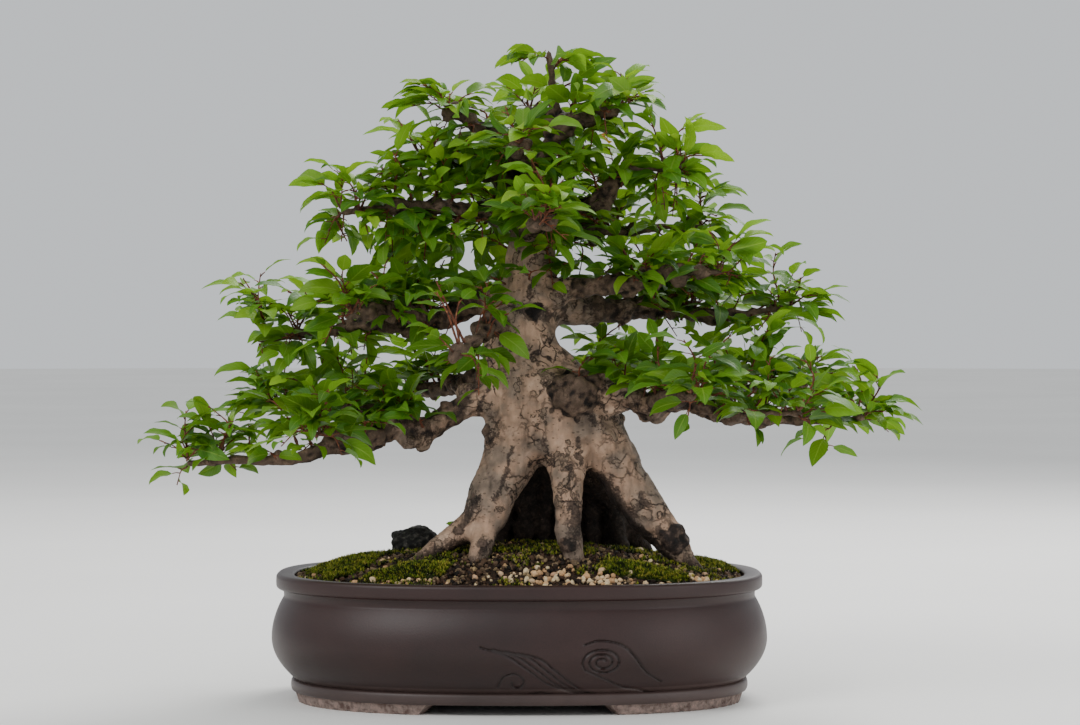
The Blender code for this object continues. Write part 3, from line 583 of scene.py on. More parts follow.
def wood_extras(chance):
    """Back roots, and the knuckles that many prunings leave along the branches."""
    made = []
    for root in BACK_ROOTS:
        route = curve_through([tree_place(*row[:3]) for row in root], 6)
        radii = np.interp(
            np.linspace(0, len(root) - 1, len(route)), range(len(root)), [row[3] for row in root],
        ) / 1000
        radii *= 1 + 0.18 * np.sin(np.arange(len(route)) * 1.7 + root[0][0])
        made.append(loose_mesh(*tube(route, radii, 10)))
    points, _ = arrays_of(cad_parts["wood"].data)
    normals = normals_of(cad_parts["wood"].data)
    off_axis = np.hypot(points[:, 0] - POT_MIDDLE.x - TRUNK_SHIFT, points[:, 1] - POT_MIDDLE.y)
    branch = np.flatnonzero((points[:, 2] > 0.2) & (off_axis > np.where(points[:, 2] < 0.35, 0.052, 0.024)))
    ball, faces = grain_shape(chance, 2)
    faces = [tuple(int(corner) for corner in face) for face in faces]
    for index in chance.choice(branch, min(len(branch), BRANCH_KNUCKLES), replace=False):
        away = min(1.0, off_axis[index] / 0.24)
        size = chance.uniform(0.0036, 0.0092) * (1.15 - 0.72 * away)
        stretch = chance.uniform(0.75, 1.3, 3)
        middle = points[index] - normals[index] * size * 0.25
        made.append(loose_mesh(ball * stretch * size + middle, faces))
    # The burl on the trunk's front: a mound of small knuckles.
    skin = surface_tree(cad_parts["wood"].data)
    for number in range(BURL_KNUCKLES):
        out = BURL_WIDE * sqrt_share(number + 0.5, BURL_KNUCKLES)
        turn = number * GOLDEN_TURN
        seat = Vector(tree_place(BURL[0] + out * cos(turn), -120, BURL[1] + out * sin(turn) * 0.95))
        hit = skin.ray_cast(seat, Vector((0, 1, 0)), 0.15)[0]
        if hit is None:
            continue
        dome = 0.0075 * (1 - (out / BURL_WIDE) ** 2)
        size = chance.uniform(0.0042, 0.0068)
        middle = np.array(hit) + np.array((0, -dome + size * chance.uniform(-0.1, 0.5), 0))
        made.append(loose_mesh(ball * chance.uniform(0.75, 1.3, 3) * size + middle, faces))
    return made


def stroke_stain(points, normals):
    """How stained each point is by the strokes on the front, whose edges wander with the bark."""
    wander = np.array([
        (noise.noise_vector(Vector(point) * 95) * 4.6 + noise.noise_vector(Vector(point) * 330) * 2.2)[:]
        for point in points
    ])
    x = (points[:, 0] - POT_MIDDLE.x) * 1000 + wander[:, 0]
    z = points[:, 2] * 1000 + wander[:, 2]
    ahead = smoothstep(-0.1, 0.25, -normals[:, 1])
    stain = np.zeros(len(points))
    for half, line in STROKES:
        for (x0, z0), (x1, z1) in zip(line, line[1:]):
            along = ((x - x0) * (x1 - x0) + (z - z0) * (z1 - z0)) / ((x1 - x0) ** 2 + (z1 - z0) ** 2)
            along = np.clip(along, 0, 1)
            away = np.hypot(x - x0 - along * (x1 - x0), z - z0 - along * (z1 - z0))
            stain = np.maximum(stain, np.exp(-((away / half) ** 2)) * ahead)
    return stain * 0.88


def build_wood(sizes, colours):
    """The wood's own skin: plates and cracks on trunk and roots, knobbly folds on the branches."""
    chance = np.random.default_rng(12)
    mesh = melt("wood_bark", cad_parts["wood"].data, sizes.bark_step, 3, wood_extras(chance))
    points, _ = arrays_of(mesh)
    normals = normals_of(mesh)
    skin = surface_tree(mesh)
    thick = np.full(len(points), 0.05)
    for index, (point, normal) in enumerate(zip(points, normals)):
        start = Vector(point - normal * 2e-4)
        hit = skin.ray_cast(start, Vector(-normal), 0.08)
        if hit[0] is not None:
            thick[index] = hit[3]
    thick = spread_over_edges(mesh, thick, 24)
    x, y, z = points.T
    mid_x = POT_MIDDLE.x + ROOTS_SHIFT
    spread = np.maximum(0, 0.17 - (z - 0.09)) * 0.75
    near = 1 - smoothstep(0.026, 0.050, np.hypot(x - mid_x, (y - POT_MIDDLE.y) * 0.9) - spread)
    trunk = smoothstep(0.014, 0.026, thick) * smoothstep(-0.4, 0.3, near)
    roots = (1 - smoothstep(0.200, 0.225, z)) * near
    old = np.clip(np.maximum(trunk * (1 - smoothstep(0.36, 0.44, z)), roots), 0, 1)
    stain = stroke_stain(points, normals)
    push = np.zeros(len(points))
    for cx, cy, cz, radius, swell, dark in SWELLINGS:
        away = np.linalg.norm(points - tree_place(cx, cy, cz), axis=1) * 1000 / radius
        away *= 1 + 0.22 * np.sin(points[:, 0] * 420 + cz) * np.cos(points[:, 2] * 380 + cx)
        bump = np.exp(-(away**2))
        push += swell / 1000 * bump
        stain = np.maximum(stain, dark * (1 - smoothstep(0.75, 1.25, away)))
        old = np.where(dark > 0.3, old * smoothstep(0.8, 1.2, away), old)
    # Painted shade blackens the roots inside the arches, on their undersides and on the back roots; they
    # also darken towards the soil.
    facing_in = -(normals[:, 0] * (x - mid_x) + normals[:, 1] * (y - POT_MIDDLE.y + 0.01)) / 0.06
    inside = smoothstep(0.0, 0.7, facing_in) * (1 - smoothstep(0.19, 0.215, z))
    under = smoothstep(0.55, 0.9, -normals[:, 2]) * (1 - smoothstep(0.19, 0.23, z))
    low = 1 - smoothstep(0.112, 0.128, z)
    behind = smoothstep(-0.004, 0.018, y - POT_MIDDLE.y) * (1 - smoothstep(0.17, 0.21, z)) * 0.85
    behind *= 1 - 0.75 * smoothstep(-0.1, 0.5, normals[:, 1])
    # The stain channel takes this painted shade along with the real stains.
    stain = np.clip(np.maximum.reduce([stain, inside, under * 0.9, low * 0.74, behind]), 0, 1)
    crack = np.zeros(len(points))
    relief = np.zeros(len(points))
    for index, point in enumerate(points):
        where = Vector(point)
        wobble = where + noise.noise_vector(where * 55) * 0.005
        distances = noise.voronoi(wobble * 52)[0]
        gap = distances[1] - distances[0]
        patch = noise.noise(where * 30 + Vector((7, 3, 1)))
        edge = max(0.0, 1 - gap / 0.11) * min(1.0, max(0.0, patch * 3.2 + 0.05))
        crack[index] = edge
        knob = noise.noise(where * 80) + 0.7 * noise.noise(where * 190)
        wave = noise.noise(where * 24) + 0.8 * noise.noise(where * 52 + Vector((5, 5, 5)))
        flute = noise.noise(Vector((point[0] * 62, point[1] * 62, point[2] * 17)))
        scale_edge = noise.noise(where * 48 + Vector((2, 8, 4)))
        flake = min(1.0, max(0.0, (scale_edge - 0.08) * 14))
        o = old[index]
        smooth_part = -0.0009 * edge + 0.0010 * wave + 0.0016 * flute + 0.0007 * flake
        smooth_part += 0.00045 * noise.noise(where * 170)
        smooth_part += 0.0011 * min(1.0, stain[index] * 1.4) * noise.noise(where * 250)
        relief[index] = o * smooth_part + (1 - o) * min(0.0030, 0.22 * thick[index]) * (knob * 1.15 + 0.15)
    moved = points + normals * (push + relief)[:, None]
    piece = show_melted("wood_bark", mesh, moved, bark_material("bark_flaking", colours))
    # Knobbly bark gets painted shade in its crevices and is rubbed paler on its ridges.
    eased = np.stack([spread_over_edges(mesh, moved[:, axis].copy(), 10) for axis in range(3)], axis=1)
    hollow = ((eased - moved) * normals).sum(1) * 1000
    crevice_shade = np.clip(hollow * 1.7, 0, 0.92) * (1 - 0.7 * old)
    # Painted shade inside the arches and behind goes into the crack channel with the cracks and the crevice
    # shade.
    shade = 0.75 * np.clip(np.maximum(inside, behind * 1.2) - 0.25, 0, 1)
    crack_and_shade_paint = np.clip(np.maximum.reduce([crack * 0.6 * old, crevice_shade, shade]), 0, 1)
    ridge_paint = np.clip(-hollow * 0.8 - 0.15, 0, 0.42) * (1 - old) * (1 - inside) * (z > 0.16)
    paint(piece, "wood", np.stack([old, stain, crack_and_shade_paint, ridge_paint], axis=1))
    ride_as(piece, "bark", "wood")


# ---------------------------------------------------------------- leaves and twigs

# Leaf tips stay within a few millimetres of the frame's own outline.
ROOM_MIDDLE = np.array((CAD_BOUNDS[0] + CAD_BOUNDS[1])[:2]) / 2
ROOM_HALF = np.array((CAD_BOUNDS[1] - CAD_BOUNDS[0])[:2]) / 2 + 0.010
ROOM_TOP = CAD_BOUNDS[1].z + 0.006

# A clearing through which the trunk's left edge shows: its middle as x and z, and its half sizes, in mm.
CLEARING = (-40, 306, 24, 16)
# One leaf, here in mm, has turned orange-brown before it falls: a youth past OLD_MARK says so.
OLD_LEAF = (71, -72, 455)
OLD_MARK = 5.0

# Longer shoots that close the spaces between branches: middle in mm, half width in mm, and how many.
FILLS = [
    (-108, -14, 374, 42, 9), (-62, -34, 368, 34, 5), (-186, 16, 272, 40, 7), (-84, -8, 362, 40, 4),
    (72, -40, 288, 22, 4), (-72, 0, 436, 30, 9), (60, -10, 446, 30, 9), (190, 10, 300, 36, 7),
    (130, -10, 374, 36, 7), (-110, 30, 288, 40, 5), (100, -20, 410, 30, 6), (10, -40, 424, 30, 6),
    (-40, -30, 440, 26, 6), (-235, -30, 216, 36, 6), (240, -20, 262, 36, 6), (0, 80, 340, 60, 14),
    (-32, -72, 257, 9, 2), (-52, -92, 284, 9, 4), (-60, 90, 380, 40, 10), (70, 90, 380, 40, 10),
    (20, 60, 446, 36, 9),
]

# Steps along and across a leaf's blade.
LEAF_ALONG = 9
LEAF_ACROSS = 4
# Distance between leaves along a shoot on a pad, and on an inner shoot.
LEAF_APART = 0.0065
INNER_LEAF_APART = 0.0062
# Radius of a shoot's tip, and a leaf stalk's radii from the shoot to the blade.
TWIG_TIP = 0.00045
STALK_RADII = (0.0007, 0.0005, 0.00045)
# Height bands of the inner shoots, in metres.
INNER_BANDS = [(0.216, 0.262), (0.262, 0.318), (0.318, 0.372), (0.372, 0.424), (0.424, 0.54)]


def leaf_grids(bases, ways, ups, lengths, widths, folds, droops, numbers, youths):
    """Points, faces and paint of many leaves: each a folded, drooping blade that narrows to a long tip."""
    count = len(bases)
    u = np.linspace(0, 1, LEAF_ALONG + 1)
    v = np.linspace(-1, 1, LEAF_ACROSS + 1)
    outline = u**0.62 * (1 - u) ** 0.95
    outline = np.maximum(outline / outline.max(), 0.02)
    ways = ways / np.linalg.norm(ways, axis=1, keepdims=True)
    ups = ups - ways * (ups * ways).sum(1, keepdims=True)
    ups = ups / np.linalg.norm(ups, axis=1, keepdims=True)
    sides = np.cross(ups, ways)
    bend = droops[:, None] * (u[None, :] ** 1.4) - 0.18 * droops[:, None]
    step = 1 / LEAF_ALONG
    run = np.concatenate([np.zeros((count, 1)), np.cumsum(np.cos(bend[:, :-1]) * step, axis=1)], axis=1)
    sink = np.concatenate([np.zeros((count, 1)), np.cumsum(np.sin(bend[:, :-1]) * step, axis=1)], axis=1)
    spine = bases[:, None] + lengths[:, None, None] * (
        run[..., None] * ways[:, None] - sink[..., None] * ups[:, None]
    )
    tilt_up = np.cos(bend)[..., None] * ups[:, None] + np.sin(bend)[..., None] * ways[:, None]
    half = widths[:, None] / 2 * outline[None, :]
    wave = 0.10 * np.sin(u[None, :] * 13 + numbers[:, None] * 40)
    across = half[..., None] * v[None, None, :] * np.cos(folds)[:, None, None]
    lift = half[..., None] * np.abs(v)[None, None, :] * (np.sin(folds)[:, None, None] + wave[..., None])
    points = spine[:, :, None] + across[..., None] * sides[
        :, None, None,
    ] + lift[..., None] * tilt_up[:, :, None]
    row = LEAF_ACROSS + 1
    first = np.arange(LEAF_ALONG)[:, None] * row + np.arange(LEAF_ACROSS)[None, :]
    quad = np.stack([first, first + 1, first + row + 1, first + row], axis=-1).reshape(-1, 4)
    faces = (quad[None] + (np.arange(count) * row * (LEAF_ALONG + 1))[:, None, None]).reshape(-1, 4)
    paint_values = np.empty((count, LEAF_ALONG + 1, row, 4))
    paint_values[..., 0] = u[None, :, None]
    paint_values[..., 1] = (v[None, None, :] + 1) / 2
    paint_values[..., 2] = numbers[:, None, None]
    paint_values[..., 3] = youths[:, None, None]
    return points.reshape(-1, 3), faces, paint_values.reshape(-1, 4)


def in_clearing(points):
    """Which points lie in the clearing, seen from the front."""
    cx, cz, half_x, half_z = CLEARING
    x = (np.asarray(points)[..., 0] - POT_MIDDLE.x) * 1000
    z = np.asarray(points)[..., 2] * 1000
    return ((x - cx) / half_x) ** 2 + ((z - cz) / half_z) ** 2 < 1


class Spray:
    """The shoots and leaves of one foliage pad."""

    def __init__(self, seed):
        self.chance = np.random.default_rng(seed)
        self.leaves = []
        self.twigs = Gather()

    def shoot(self, start, goal, sizes, old_share, leaves, youth):
        """A twig that rises and bends from start to goal, with alternate leaves and a tuft at its end."""
        if in_clearing(goal):
            return
        chance = self.chance
        start, goal = Vector(start), Vector(goal)
        span = goal - start
        length = span.length
        bow = Vector((chance.normal(0, 0.10), chance.normal(0, 0.10), 0.16)) * length
        knee = start + span * 0.45 + bow
        route = curve_through([start, start + span * 0.2 + bow * 0.35, knee, goal], 4)
        count = len(route)
        thick = sizes.twig_thick * (0.8 + 0.5 * chance.random()) * (0.6 + 9 * length)
        radii = [max(TWIG_TIP, thick * (1 - 0.75 * index / count)) for index in range(count)]
        points, faces = tube(route, radii, 5)
        wobble = chance.normal(0, 1, (len(points), 3)) * 0.16 * np.repeat(radii, 5)[:, None]
        ages = np.repeat([max(0.0, old_share - index / count) for index in range(count)], 5)
        self.twigs.take(
            np.array(points) + wobble, faces, np.stack([ages, ages * 0, ages * 0, ages * 0 + 1], axis=1),
        )
        turn = chance.random() * 2 * pi
        for number in range(leaves):
            share = 0.30 + 0.70 * (number + 0.5) / leaves
            at = min(count - 2, int(share * (count - 1)))
            blend = share * (count - 1) - at
            base = route[at].lerp(route[at + 1], min(1.0, blend))
            way = (route[at + 1] - route[at]).normalized()
            turn += pi + chance.normal(0, 0.35)
            side = way.cross(UP)
            side = side.normalized() if side.length > 0.05 else Vector((1, 0, 0))
            other = side.cross(way)
            out = side * cos(turn) + other * (0.35 * sin(turn) + 0.12)
            lean = 0.35 + 0.7 * share + chance.normal(0, 0.15)
            if number >= leaves - 2:
                lean += 0.8
            level = Vector((way.x, way.y, way.z * 0.35))
            leaf_way = (level * lean + out * 0.95 + Vector(chance.normal(0, 0.20, 3))).normalized()
            leaf_way.z = leaf_way.z * 0.7 - 0.34 * chance.random() + 0.08
            leaf_way.normalize()
            up = UP + Vector(chance.normal(0, 0.42, 3))
            stalk = sizes.stalk_long * (0.7 + 0.6 * chance.random())
            tip = base + leaf_way * stalk + UP * stalk * 0.2
            if in_clearing(tip) or in_clearing(tip + leaf_way * sizes.leaf_long * 0.8):
                continue
            points, faces = tube([base, (base + tip) / 2 + UP * stalk * 0.08, tip], STALK_RADII, 4)
            self.twigs.take(points, faces, (0.0, 0.0, 0.0, 1.0))
            size = chance.uniform(0.58, 1.05) * (0.84 if number >= leaves - 1 else 1.0)
            leaf = (tip, leaf_way, up, size, youth + chance.normal(0, 0.17) + 0.16 * (number >= leaves - 2))
            self.leaves.append(leaf)

    def blades(self, sizes):
        """Points, faces and paint of the leaves inside the frame's outline and out of the clearing."""
        chance = self.chance
        bases, ways, ups, size, youth = (np.array(column) for column in zip(*self.leaves))
        youth = np.where(youth > OLD_MARK, 1.0, np.clip(youth, 0, 0.93))
        tips = bases + ways / np.linalg.norm(
            ways, axis=1, keepdims=True,
        ) * (sizes.leaf_long * size)[:, None]
        inside = (np.abs(tips[:, :2] - ROOM_MIDDLE) < ROOM_HALF).all(1) & (tips[:, 2] < ROOM_TOP)
        inside &= ~in_clearing(bases) & ~in_clearing(tips)
        bases, ways, ups, size, youth = (column[inside] for column in (bases, ways, ups, size, youth))
        count = len(bases)
        lengths = sizes.leaf_long * size
        widths = lengths * chance.uniform(0.38, 0.50, count)
        folds = np.abs(chance.normal(0.24, 0.16, count))
        droops = chance.uniform(0.3, 1.55, count)
        return leaf_grids(bases, ways, ups, lengths, widths, folds, droops, chance.random(count), youth)


def build_leaves(sizes, colours):
    """A spray of shoots for each foliage pad, its twigs rising from the nearest wood."""
    leaf_finish = leaf_material("leaf_blade", colours)
    twig_finish = twig_material("twig_bark", colours)
    wood_points, _ = arrays_of(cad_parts["wood"].data)
    pads = sorted(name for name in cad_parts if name.startswith("foliage_"))
    twig_groups = {}
    for order, name in enumerate(pads):
        low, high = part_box(name)
        middle = (low + high) / 2
        half = (high - low) / 2
        spray = Spray(1200 + order * 7)
        chance = spray.chance
        inside = np.abs(wood_points[:, :2] - np.array(middle[:2])) < np.array((half.x, half.y)) * 0.95
        near = wood_points[inside.all(1) & (np.abs(wood_points[:, 2] - low.z) < 0.024)]
        if len(near) < 3:
            distance = np.linalg.norm(wood_points - np.array(middle), axis=1)
            near = wood_points[np.argsort(distance)[:12]]
        outward = Vector((middle.x - POT_MIDDLE.x, middle.y - POT_MIDDLE.y, 0))
        reach = outward.length
        outward = outward.normalized() if reach > 0.02 else Vector((0, 0, 0))
        area = half.x * half.y * pi
        shoots = max(7, int(area / sizes.shoot_ground))
        bare = middle.z < 0.29 and reach < 0.17
        if bare:
            shoots = max(6, int(shoots * 0.72))
        # Higher pads get more youth and come out lighter: partly younger growth, partly painted light, with
        # lower pads in painted shade.
        youth = 0.30 + 0.28 * smoothstep(0.20, 0.50, middle.z) + 0.16 * (chance.random() - 0.5)
        for number in range(shoots):
            angle = number * GOLDEN_TURN + order
            share = sqrt_share(number + 0.6, shoots)
            height = (high.z - low.z) * (0.86 - 0.55 * share**1.5) + chance.normal(0, 0.005)
            if number % 4 == 3 and not bare:
                height = chance.uniform(-0.030, -0.008)
            if number % 4 == 1:
                height += chance.uniform(0.008, 0.026)
            goal = Vector((
                middle.x + half.x * 0.74 * share * cos(angle),
                middle.y + half.y * 0.74 * share * sin(angle),
                min(low.z + height, WOOD_HIGH.z - 0.006),
            ))
            distance = np.linalg.norm(near - (np.array(goal) * 0.6 + np.array(middle) * 0.4), axis=1)
            start = Vector(near[np.argsort(distance)[chance.integers(0, min(4, len(near)))]])
            span = (goal - start).length
            leaves = int(np.clip(round(span / LEAF_APART), 4, 11))
            spray.shoot(start, goal, sizes, 0.55, leaves, youth)
        points, faces, values = spray.blades(sizes)
        piece = make_object(name.replace("foliage", "leaves"), points, faces, leaf_finish)
        paint(piece, "blade", values)
        ride_as(piece, "leaves", name)
        tier = name.rsplit("_", 1)[0].replace("foliage", "twigs")
        group = twig_groups.setdefault(tier, Gather())
        group.take(
            np.concatenate(spray.twigs.points), spray.twigs.faces, np.concatenate(spray.twigs.colours),
        )
    for number, spray in enumerate(inner_sprays(sizes, wood_points)):
        points, faces, values = spray.blades(sizes)
        piece = make_object(f"leaves_inner_{number + 1}", points, faces, leaf_finish)
        paint(piece, "blade", values)
        ride_as(piece, "leaves")
        twig_groups[f"twigs_inner_{number + 1}"] = spray.twigs
    for name, group in twig_groups.items():
        ride_as(group.make(name, twig_finish, "wood"), "bark")


def inner_sprays(sizes, wood_points):
    """Short leafy shoots that break from the branches and the upper trunk, in bands from low to high."""
    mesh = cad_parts["wood"].data
    normals = normals_of(mesh)
    chance = np.random.default_rng(4021)
    made = []
    for number, (low, high) in enumerate(INNER_BANDS):
        spray = Spray(900 + number)
        x, y, z = wood_points.T
        off_axis = np.hypot(x - POT_MIDDLE.x - TRUNK_SHIFT, y - POT_MIDDLE.y)
        clear = np.where(z < 0.27, 0.085, np.where(z < 0.34, 0.055, 0.016))
        usable = np.flatnonzero((z >= low) & (z < high) & (off_axis > clear))
        taken = []
        for index in chance.permutation(usable):
            point = wood_points[index]
            if any(abs(point - other).max() < sizes.shoot_apart for other in taken):
                continue
            taken.append(point)
            normal = normals[index]
            out = Vector((point[0] - POT_MIDDLE.x, point[1] - POT_MIDDLE.y, 0)).normalized()
            along = Vector(normal) * 0.8 + out * 0.7 + Vector(chance.normal(0, 0.45, 3))
            along.z = along.z * 0.6 + 0.30
            if number == 0 and along.z < 0:
                along.z *= -0.5
            reach = chance.uniform(0.016, 0.034)
            if number in (1, 3) and chance.random() < 0.55:
                reach *= 1.7
                along.z = abs(along.z) + 0.9
            if number > 1 and chance.random() < 0.30:
                along.z = -abs(along.z) - 0.4
            goal = Vector(point) + along.normalized() * reach
            # Lower bands of inner shoots get less youth: partly older leaves, partly painted shade inside
            # the crown.
            spray.shoot(point, goal, sizes, 0.5, int(chance.integers(3, 7)), 0.22 + 0.22 * (number > 2))
        for cx, cy, cz, half, count in FILLS:
            if not low <= cz / 1000 < high:
                continue
            middle = tree_place(cx, cy, cz)
            for _ in range(count):
                goal = middle + chance.uniform(-1, 1, 3) * np.array((half, half * 0.8, 14)) / 1000
                distance = np.linalg.norm((wood_points - goal) * (1, 1, 0.7), axis=1)
                start = wood_points[np.argsort(distance)[chance.integers(0, 10)]]
                if in_clearing((start + goal) / 2):
                    continue
                leaves = int(np.clip(round(np.linalg.norm(goal - start) / INNER_LEAF_APART), 4, 10))
                spray.shoot(start, goal, sizes, 0.5, leaves, 0.3 + 0.2 * chance.random())
        made.append(spray)
    goal = tree_place(*OLD_LEAF)
    start = wood_points[np.argmin(np.linalg.norm(wood_points - goal, axis=1))]
    spray.shoot(start, goal, sizes, 0.5, 5, 0.4)
    tip, _, up, size, _ = spray.leaves[-1]
    spray.leaves[-1] = (tip, Vector((0.2, -0.8, -0.5)), up, size, 2 * OLD_MARK)
    return made


# ---------------------------------------------------------------- soil, moss, rock


def speckled_material(name, stops, grain, rough_low, rough_high, bump, attribute=None):
    """Grit or stone: each grain's own number gives its colour, and pores this wide in mm its fine relief."""
    made, tree = new_material(name)
    place = add(tree, "TexCoord").outputs["Object"]
    pores = add(
        tree, "TexNoise", {"Vector": place, "Scale": per_metre(grain), "Detail": 5.0, "Roughness": 0.65},
    )
    if attribute:
        own = add(tree, "Attribute", attribute_name=attribute)
        number = add(tree, "SeparateColor", {"Color": own}).outputs[0]
        source = add(tree, "Math", {0: pores, 1: 0.22, 2: number}, operation="MULTIPLY_ADD")
        factor = add(tree, "Math", {0: source, 1: 0.11}, operation="SUBTRACT").outputs["Value"]
    else:
        factor = pores
    colour = add(tree, "ValToRGB", {"Fac": factor}, stops=stops)
    shade = add(
        tree, "MapRange", {"Value": pores, "From Min": 0.3, "From Max": 0.7, "To Min": 0.6, "To Max": 1.2},
    )
    shaded = add(tree, "VectorMath", {0: colour, "Scale": shade}, operation="SCALE")
    relief = add(tree, "Bump", {"Height": pores, "Strength": 0.7, "Distance": bump})
    dull = add(tree, "MapRange", {"Value": pores, "To Min": rough_low, "To Max": rough_high})
    shader = add(
        tree, "BsdfPrincipled",
        {"Base Color": shaded, "Roughness": dull, "Normal": relief, "Specular IOR Level": 0.3},
    )
    return finish_material(made, shader)


def grain_shape(chance, detail):
    """An angular grain of radius 1."""
    model = bmesh.new()
    bmesh.ops.create_icosphere(model, subdivisions=detail, radius=1.0)
    points = np.array([point.co[:] for point in model.verts])
    faces = [tuple(point.index for point in face.verts) for face in model.faces]
    model.free()
    shift = Vector(chance.uniform(-50, 50, 3))
    lumps = np.array([noise.noise(Vector(point) * 1.5 + shift) for point in points])[:, None]
    points *= 1 + 0.42 * lumps + chance.normal(0, 0.10 if detail == 1 else 0.03, (len(points), 1))
    return points * chance.uniform(0.68, 1.12, 3), np.array(faces)


def ground_tree():
    """A search tree of the frame's soil."""
    return surface_tree(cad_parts["soil"].data)


def ground_at(tree, x, y):
    """The soil's height at x and y, or nothing outside it."""
    hit = tree.ray_cast(Vector((x, y, SOIL_HIGH.z + 0.05)), Vector((0, 0, -1)), 0.2)
    if hit[0] is None or hit[0].z < SOIL_HIGH.z - 0.045:
        return None
    return hit[0].z


def plan_halves(inset):
    """Half the length and half the width of the pot's plan, this far inside the lip's outer edge."""
    half = (POT_HIGH - POT_LOW) / 2
    return half.x - BELLY_OUT - inset, half.y - BELLY_OUT - inset


def in_pot_mouth(x, y, inset):
    """How far out from the pot's middle, 1 at this inset from the lip's outer edge."""
    half_x, half_y = plan_halves(inset)
    out_x, out_y = abs(x - POT_MIDDLE.x) / half_x, abs(y - POT_MIDDLE.y) / half_y
    return (out_x**PLAN_POWER + out_y**PLAN_POWER) ** (1 / PLAN_POWER)


# How far inside the lip's outer edge loose grains and moss stop.
MOUTH_INSET = 0.0165


def scatter(chance, count, accept):
    """Places on the soil inside the pot's mouth, on the soil's own surface."""
    tree = ground_tree()
    wood = surface_tree(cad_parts["wood"].data)
    found = []
    tries = 0
    while len(found) < count and tries < count * 12:
        tries += 1
        x = chance.uniform(SOIL_LOW.x, SOIL_HIGH.x)
        y = chance.uniform(SOIL_LOW.y, SOIL_HIGH.y)
        if in_pot_mouth(x, y, MOUTH_INSET) > 1 or not accept(x, y):
            continue
        z = ground_at(tree, x, y)
        if z is None:
            continue
        near = wood.find_nearest(Vector((x, y, z)), 0.0015)
        if near[0] is None:
            found.append((x, y, z))
    return found


def grains(name, finish, slot, chance, places, size_low, size_high, detail, sunk):
    """One piece of many loose grains, each with a colour number of its own."""
    shapes = [grain_shape(chance, detail) for _ in range(12)]
    all_points, all_faces, values = [], [], []
    count = 0
    for x, y, z in places:
        points, faces = shapes[chance.integers(0, len(shapes))]
        spin = np.linalg.qr(chance.normal(0, 1, (3, 3)))[0]
        size = size_low + (size_high - size_low) * chance.random() ** 1.8
        moved = points @ spin * size / 2 + np.array((x, y, z + size * (0.5 - sunk)))
        all_points.append(moved)
        all_faces.append(faces + count)
        values.append(np.full(len(points), chance.random()))
        count += len(points)
    piece = make_object(
        name, np.concatenate(all_points), np.concatenate(all_faces), finish, smooth=detail > 1,
    )
    number = np.concatenate(values)
    paint(piece, "grain", np.stack([number, number, number, np.ones(len(number))], axis=1))
    ride_as(piece, slot)


# How many grains of dark grit and pumice and clumps of moss lie loose on the soil.
GRIT_COUNT = 5200
PUMICE_COUNT = 430
CLUMP_COUNT = 5200
# Heaps of pumice: x and y of the middle from the pot's middle, and half the length and width, in mm.
PUMICE_HEAPS = [
    (26, -108, 40, 16), (152, -84, 22, 10), (66, -112, 24, 9), (-86, -104, 16, 7), (-150, -40, 12, 8),
]


def pumice_share(x, y):
    """How much pumice lies here: it gathers in a few heaps along the front."""
    share = 0.022
    for cx, cy, half_x, half_y in PUMICE_HEAPS:
        away = hypot(
            (x - POT_MIDDLE.x) * 1000 - cx, ((y - POT_MIDDLE.y) * 1000 - cy) * half_x / half_y,
        ) / half_x
        share += exp(-away * away)
    return share


def moss_share(x, y):
    """How mossy the ground is: above 0 where moss grows between the grit."""
    lump = noise.noise(Vector((x * 26, y * 26, 3.0))) + 0.5 * noise.noise(Vector((x * 70, y * 70, 9.0)))
    bare = exp(-(((x - POT_MIDDLE.x + 0.045) / 0.035) ** 2 + ((y - POT_MIDDLE.y + 0.095) / 0.03) ** 2))
    return lump + 0.12 - 0.5 * bare - 0.35 * min(1.0, max(0.0, pumice_share(x, y) - 0.3))


def build_soil(sizes, colours):
    """The bed, dark grit over all of it, and heaps of pale pumice."""
    chance = np.random.default_rng(51)
    mesh = melt("soil_bed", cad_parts["soil"].data, sizes.soil_step, 1)
    points, _ = arrays_of(mesh)
    normals = normals_of(mesh)
    for index, point in enumerate(points):
        if normals[index, 2] > 0.25 and point[2] > SOIL_HIGH.z - 0.04:
            where = Vector(point)
            crumbs = 0.0013 * noise.noise(where * 130) + 0.0009 * noise.noise(where * 300)
            points[index, 2] += crumbs - 0.0006
    crumbly = speckled_material(
        "potting_soil",
        [(0.30, "#120d09"), (0.48, colours.soil_dark), (0.62, "#4a3524"), (0.75, "#6a4d33")],
        2.381, 0.8, 0.98, 0.0015,
    )
    ride_as(show_melted("soil_bed", mesh, points, crumbly), "soil", "soil")
    dark = speckled_material(
        "volcanic_grit",
        [(0.0, "#15100c"), (0.30, colours.soil_dark), (0.55, "#4b3323"), (0.74, "#5f4a38"),
         (0.9, "#7d6a50"), (1.0, "#a08760")],
        1.923, 0.75, 0.95, 0.0008, "grain",
    )
    places = scatter(chance, GRIT_COUNT, lambda x, y: chance.random() > 0.5 * (moss_share(x, y) > 0.15))
    grains("grit", dark, "soil", chance, places, sizes.grit_small, sizes.grit_large, 1, 0.22)
    pale = speckled_material(
        "pumice",
        [(0.0, "#b08a63"), (0.3, colours.pumice_tan), (0.55, colours.pumice_cream), (0.8, "#d9c49c"),
         (1.0, "#c79a78")],
        1.5385, 0.8, 0.97, 0.0008, "grain",
    )
    places = scatter(chance, PUMICE_COUNT, lambda x, y: chance.random() < pumice_share(x, y))
    grains("pumice_grains", pale, "soil", chance, places, sizes.pumice_small, sizes.pumice_large, 2, 0.10)


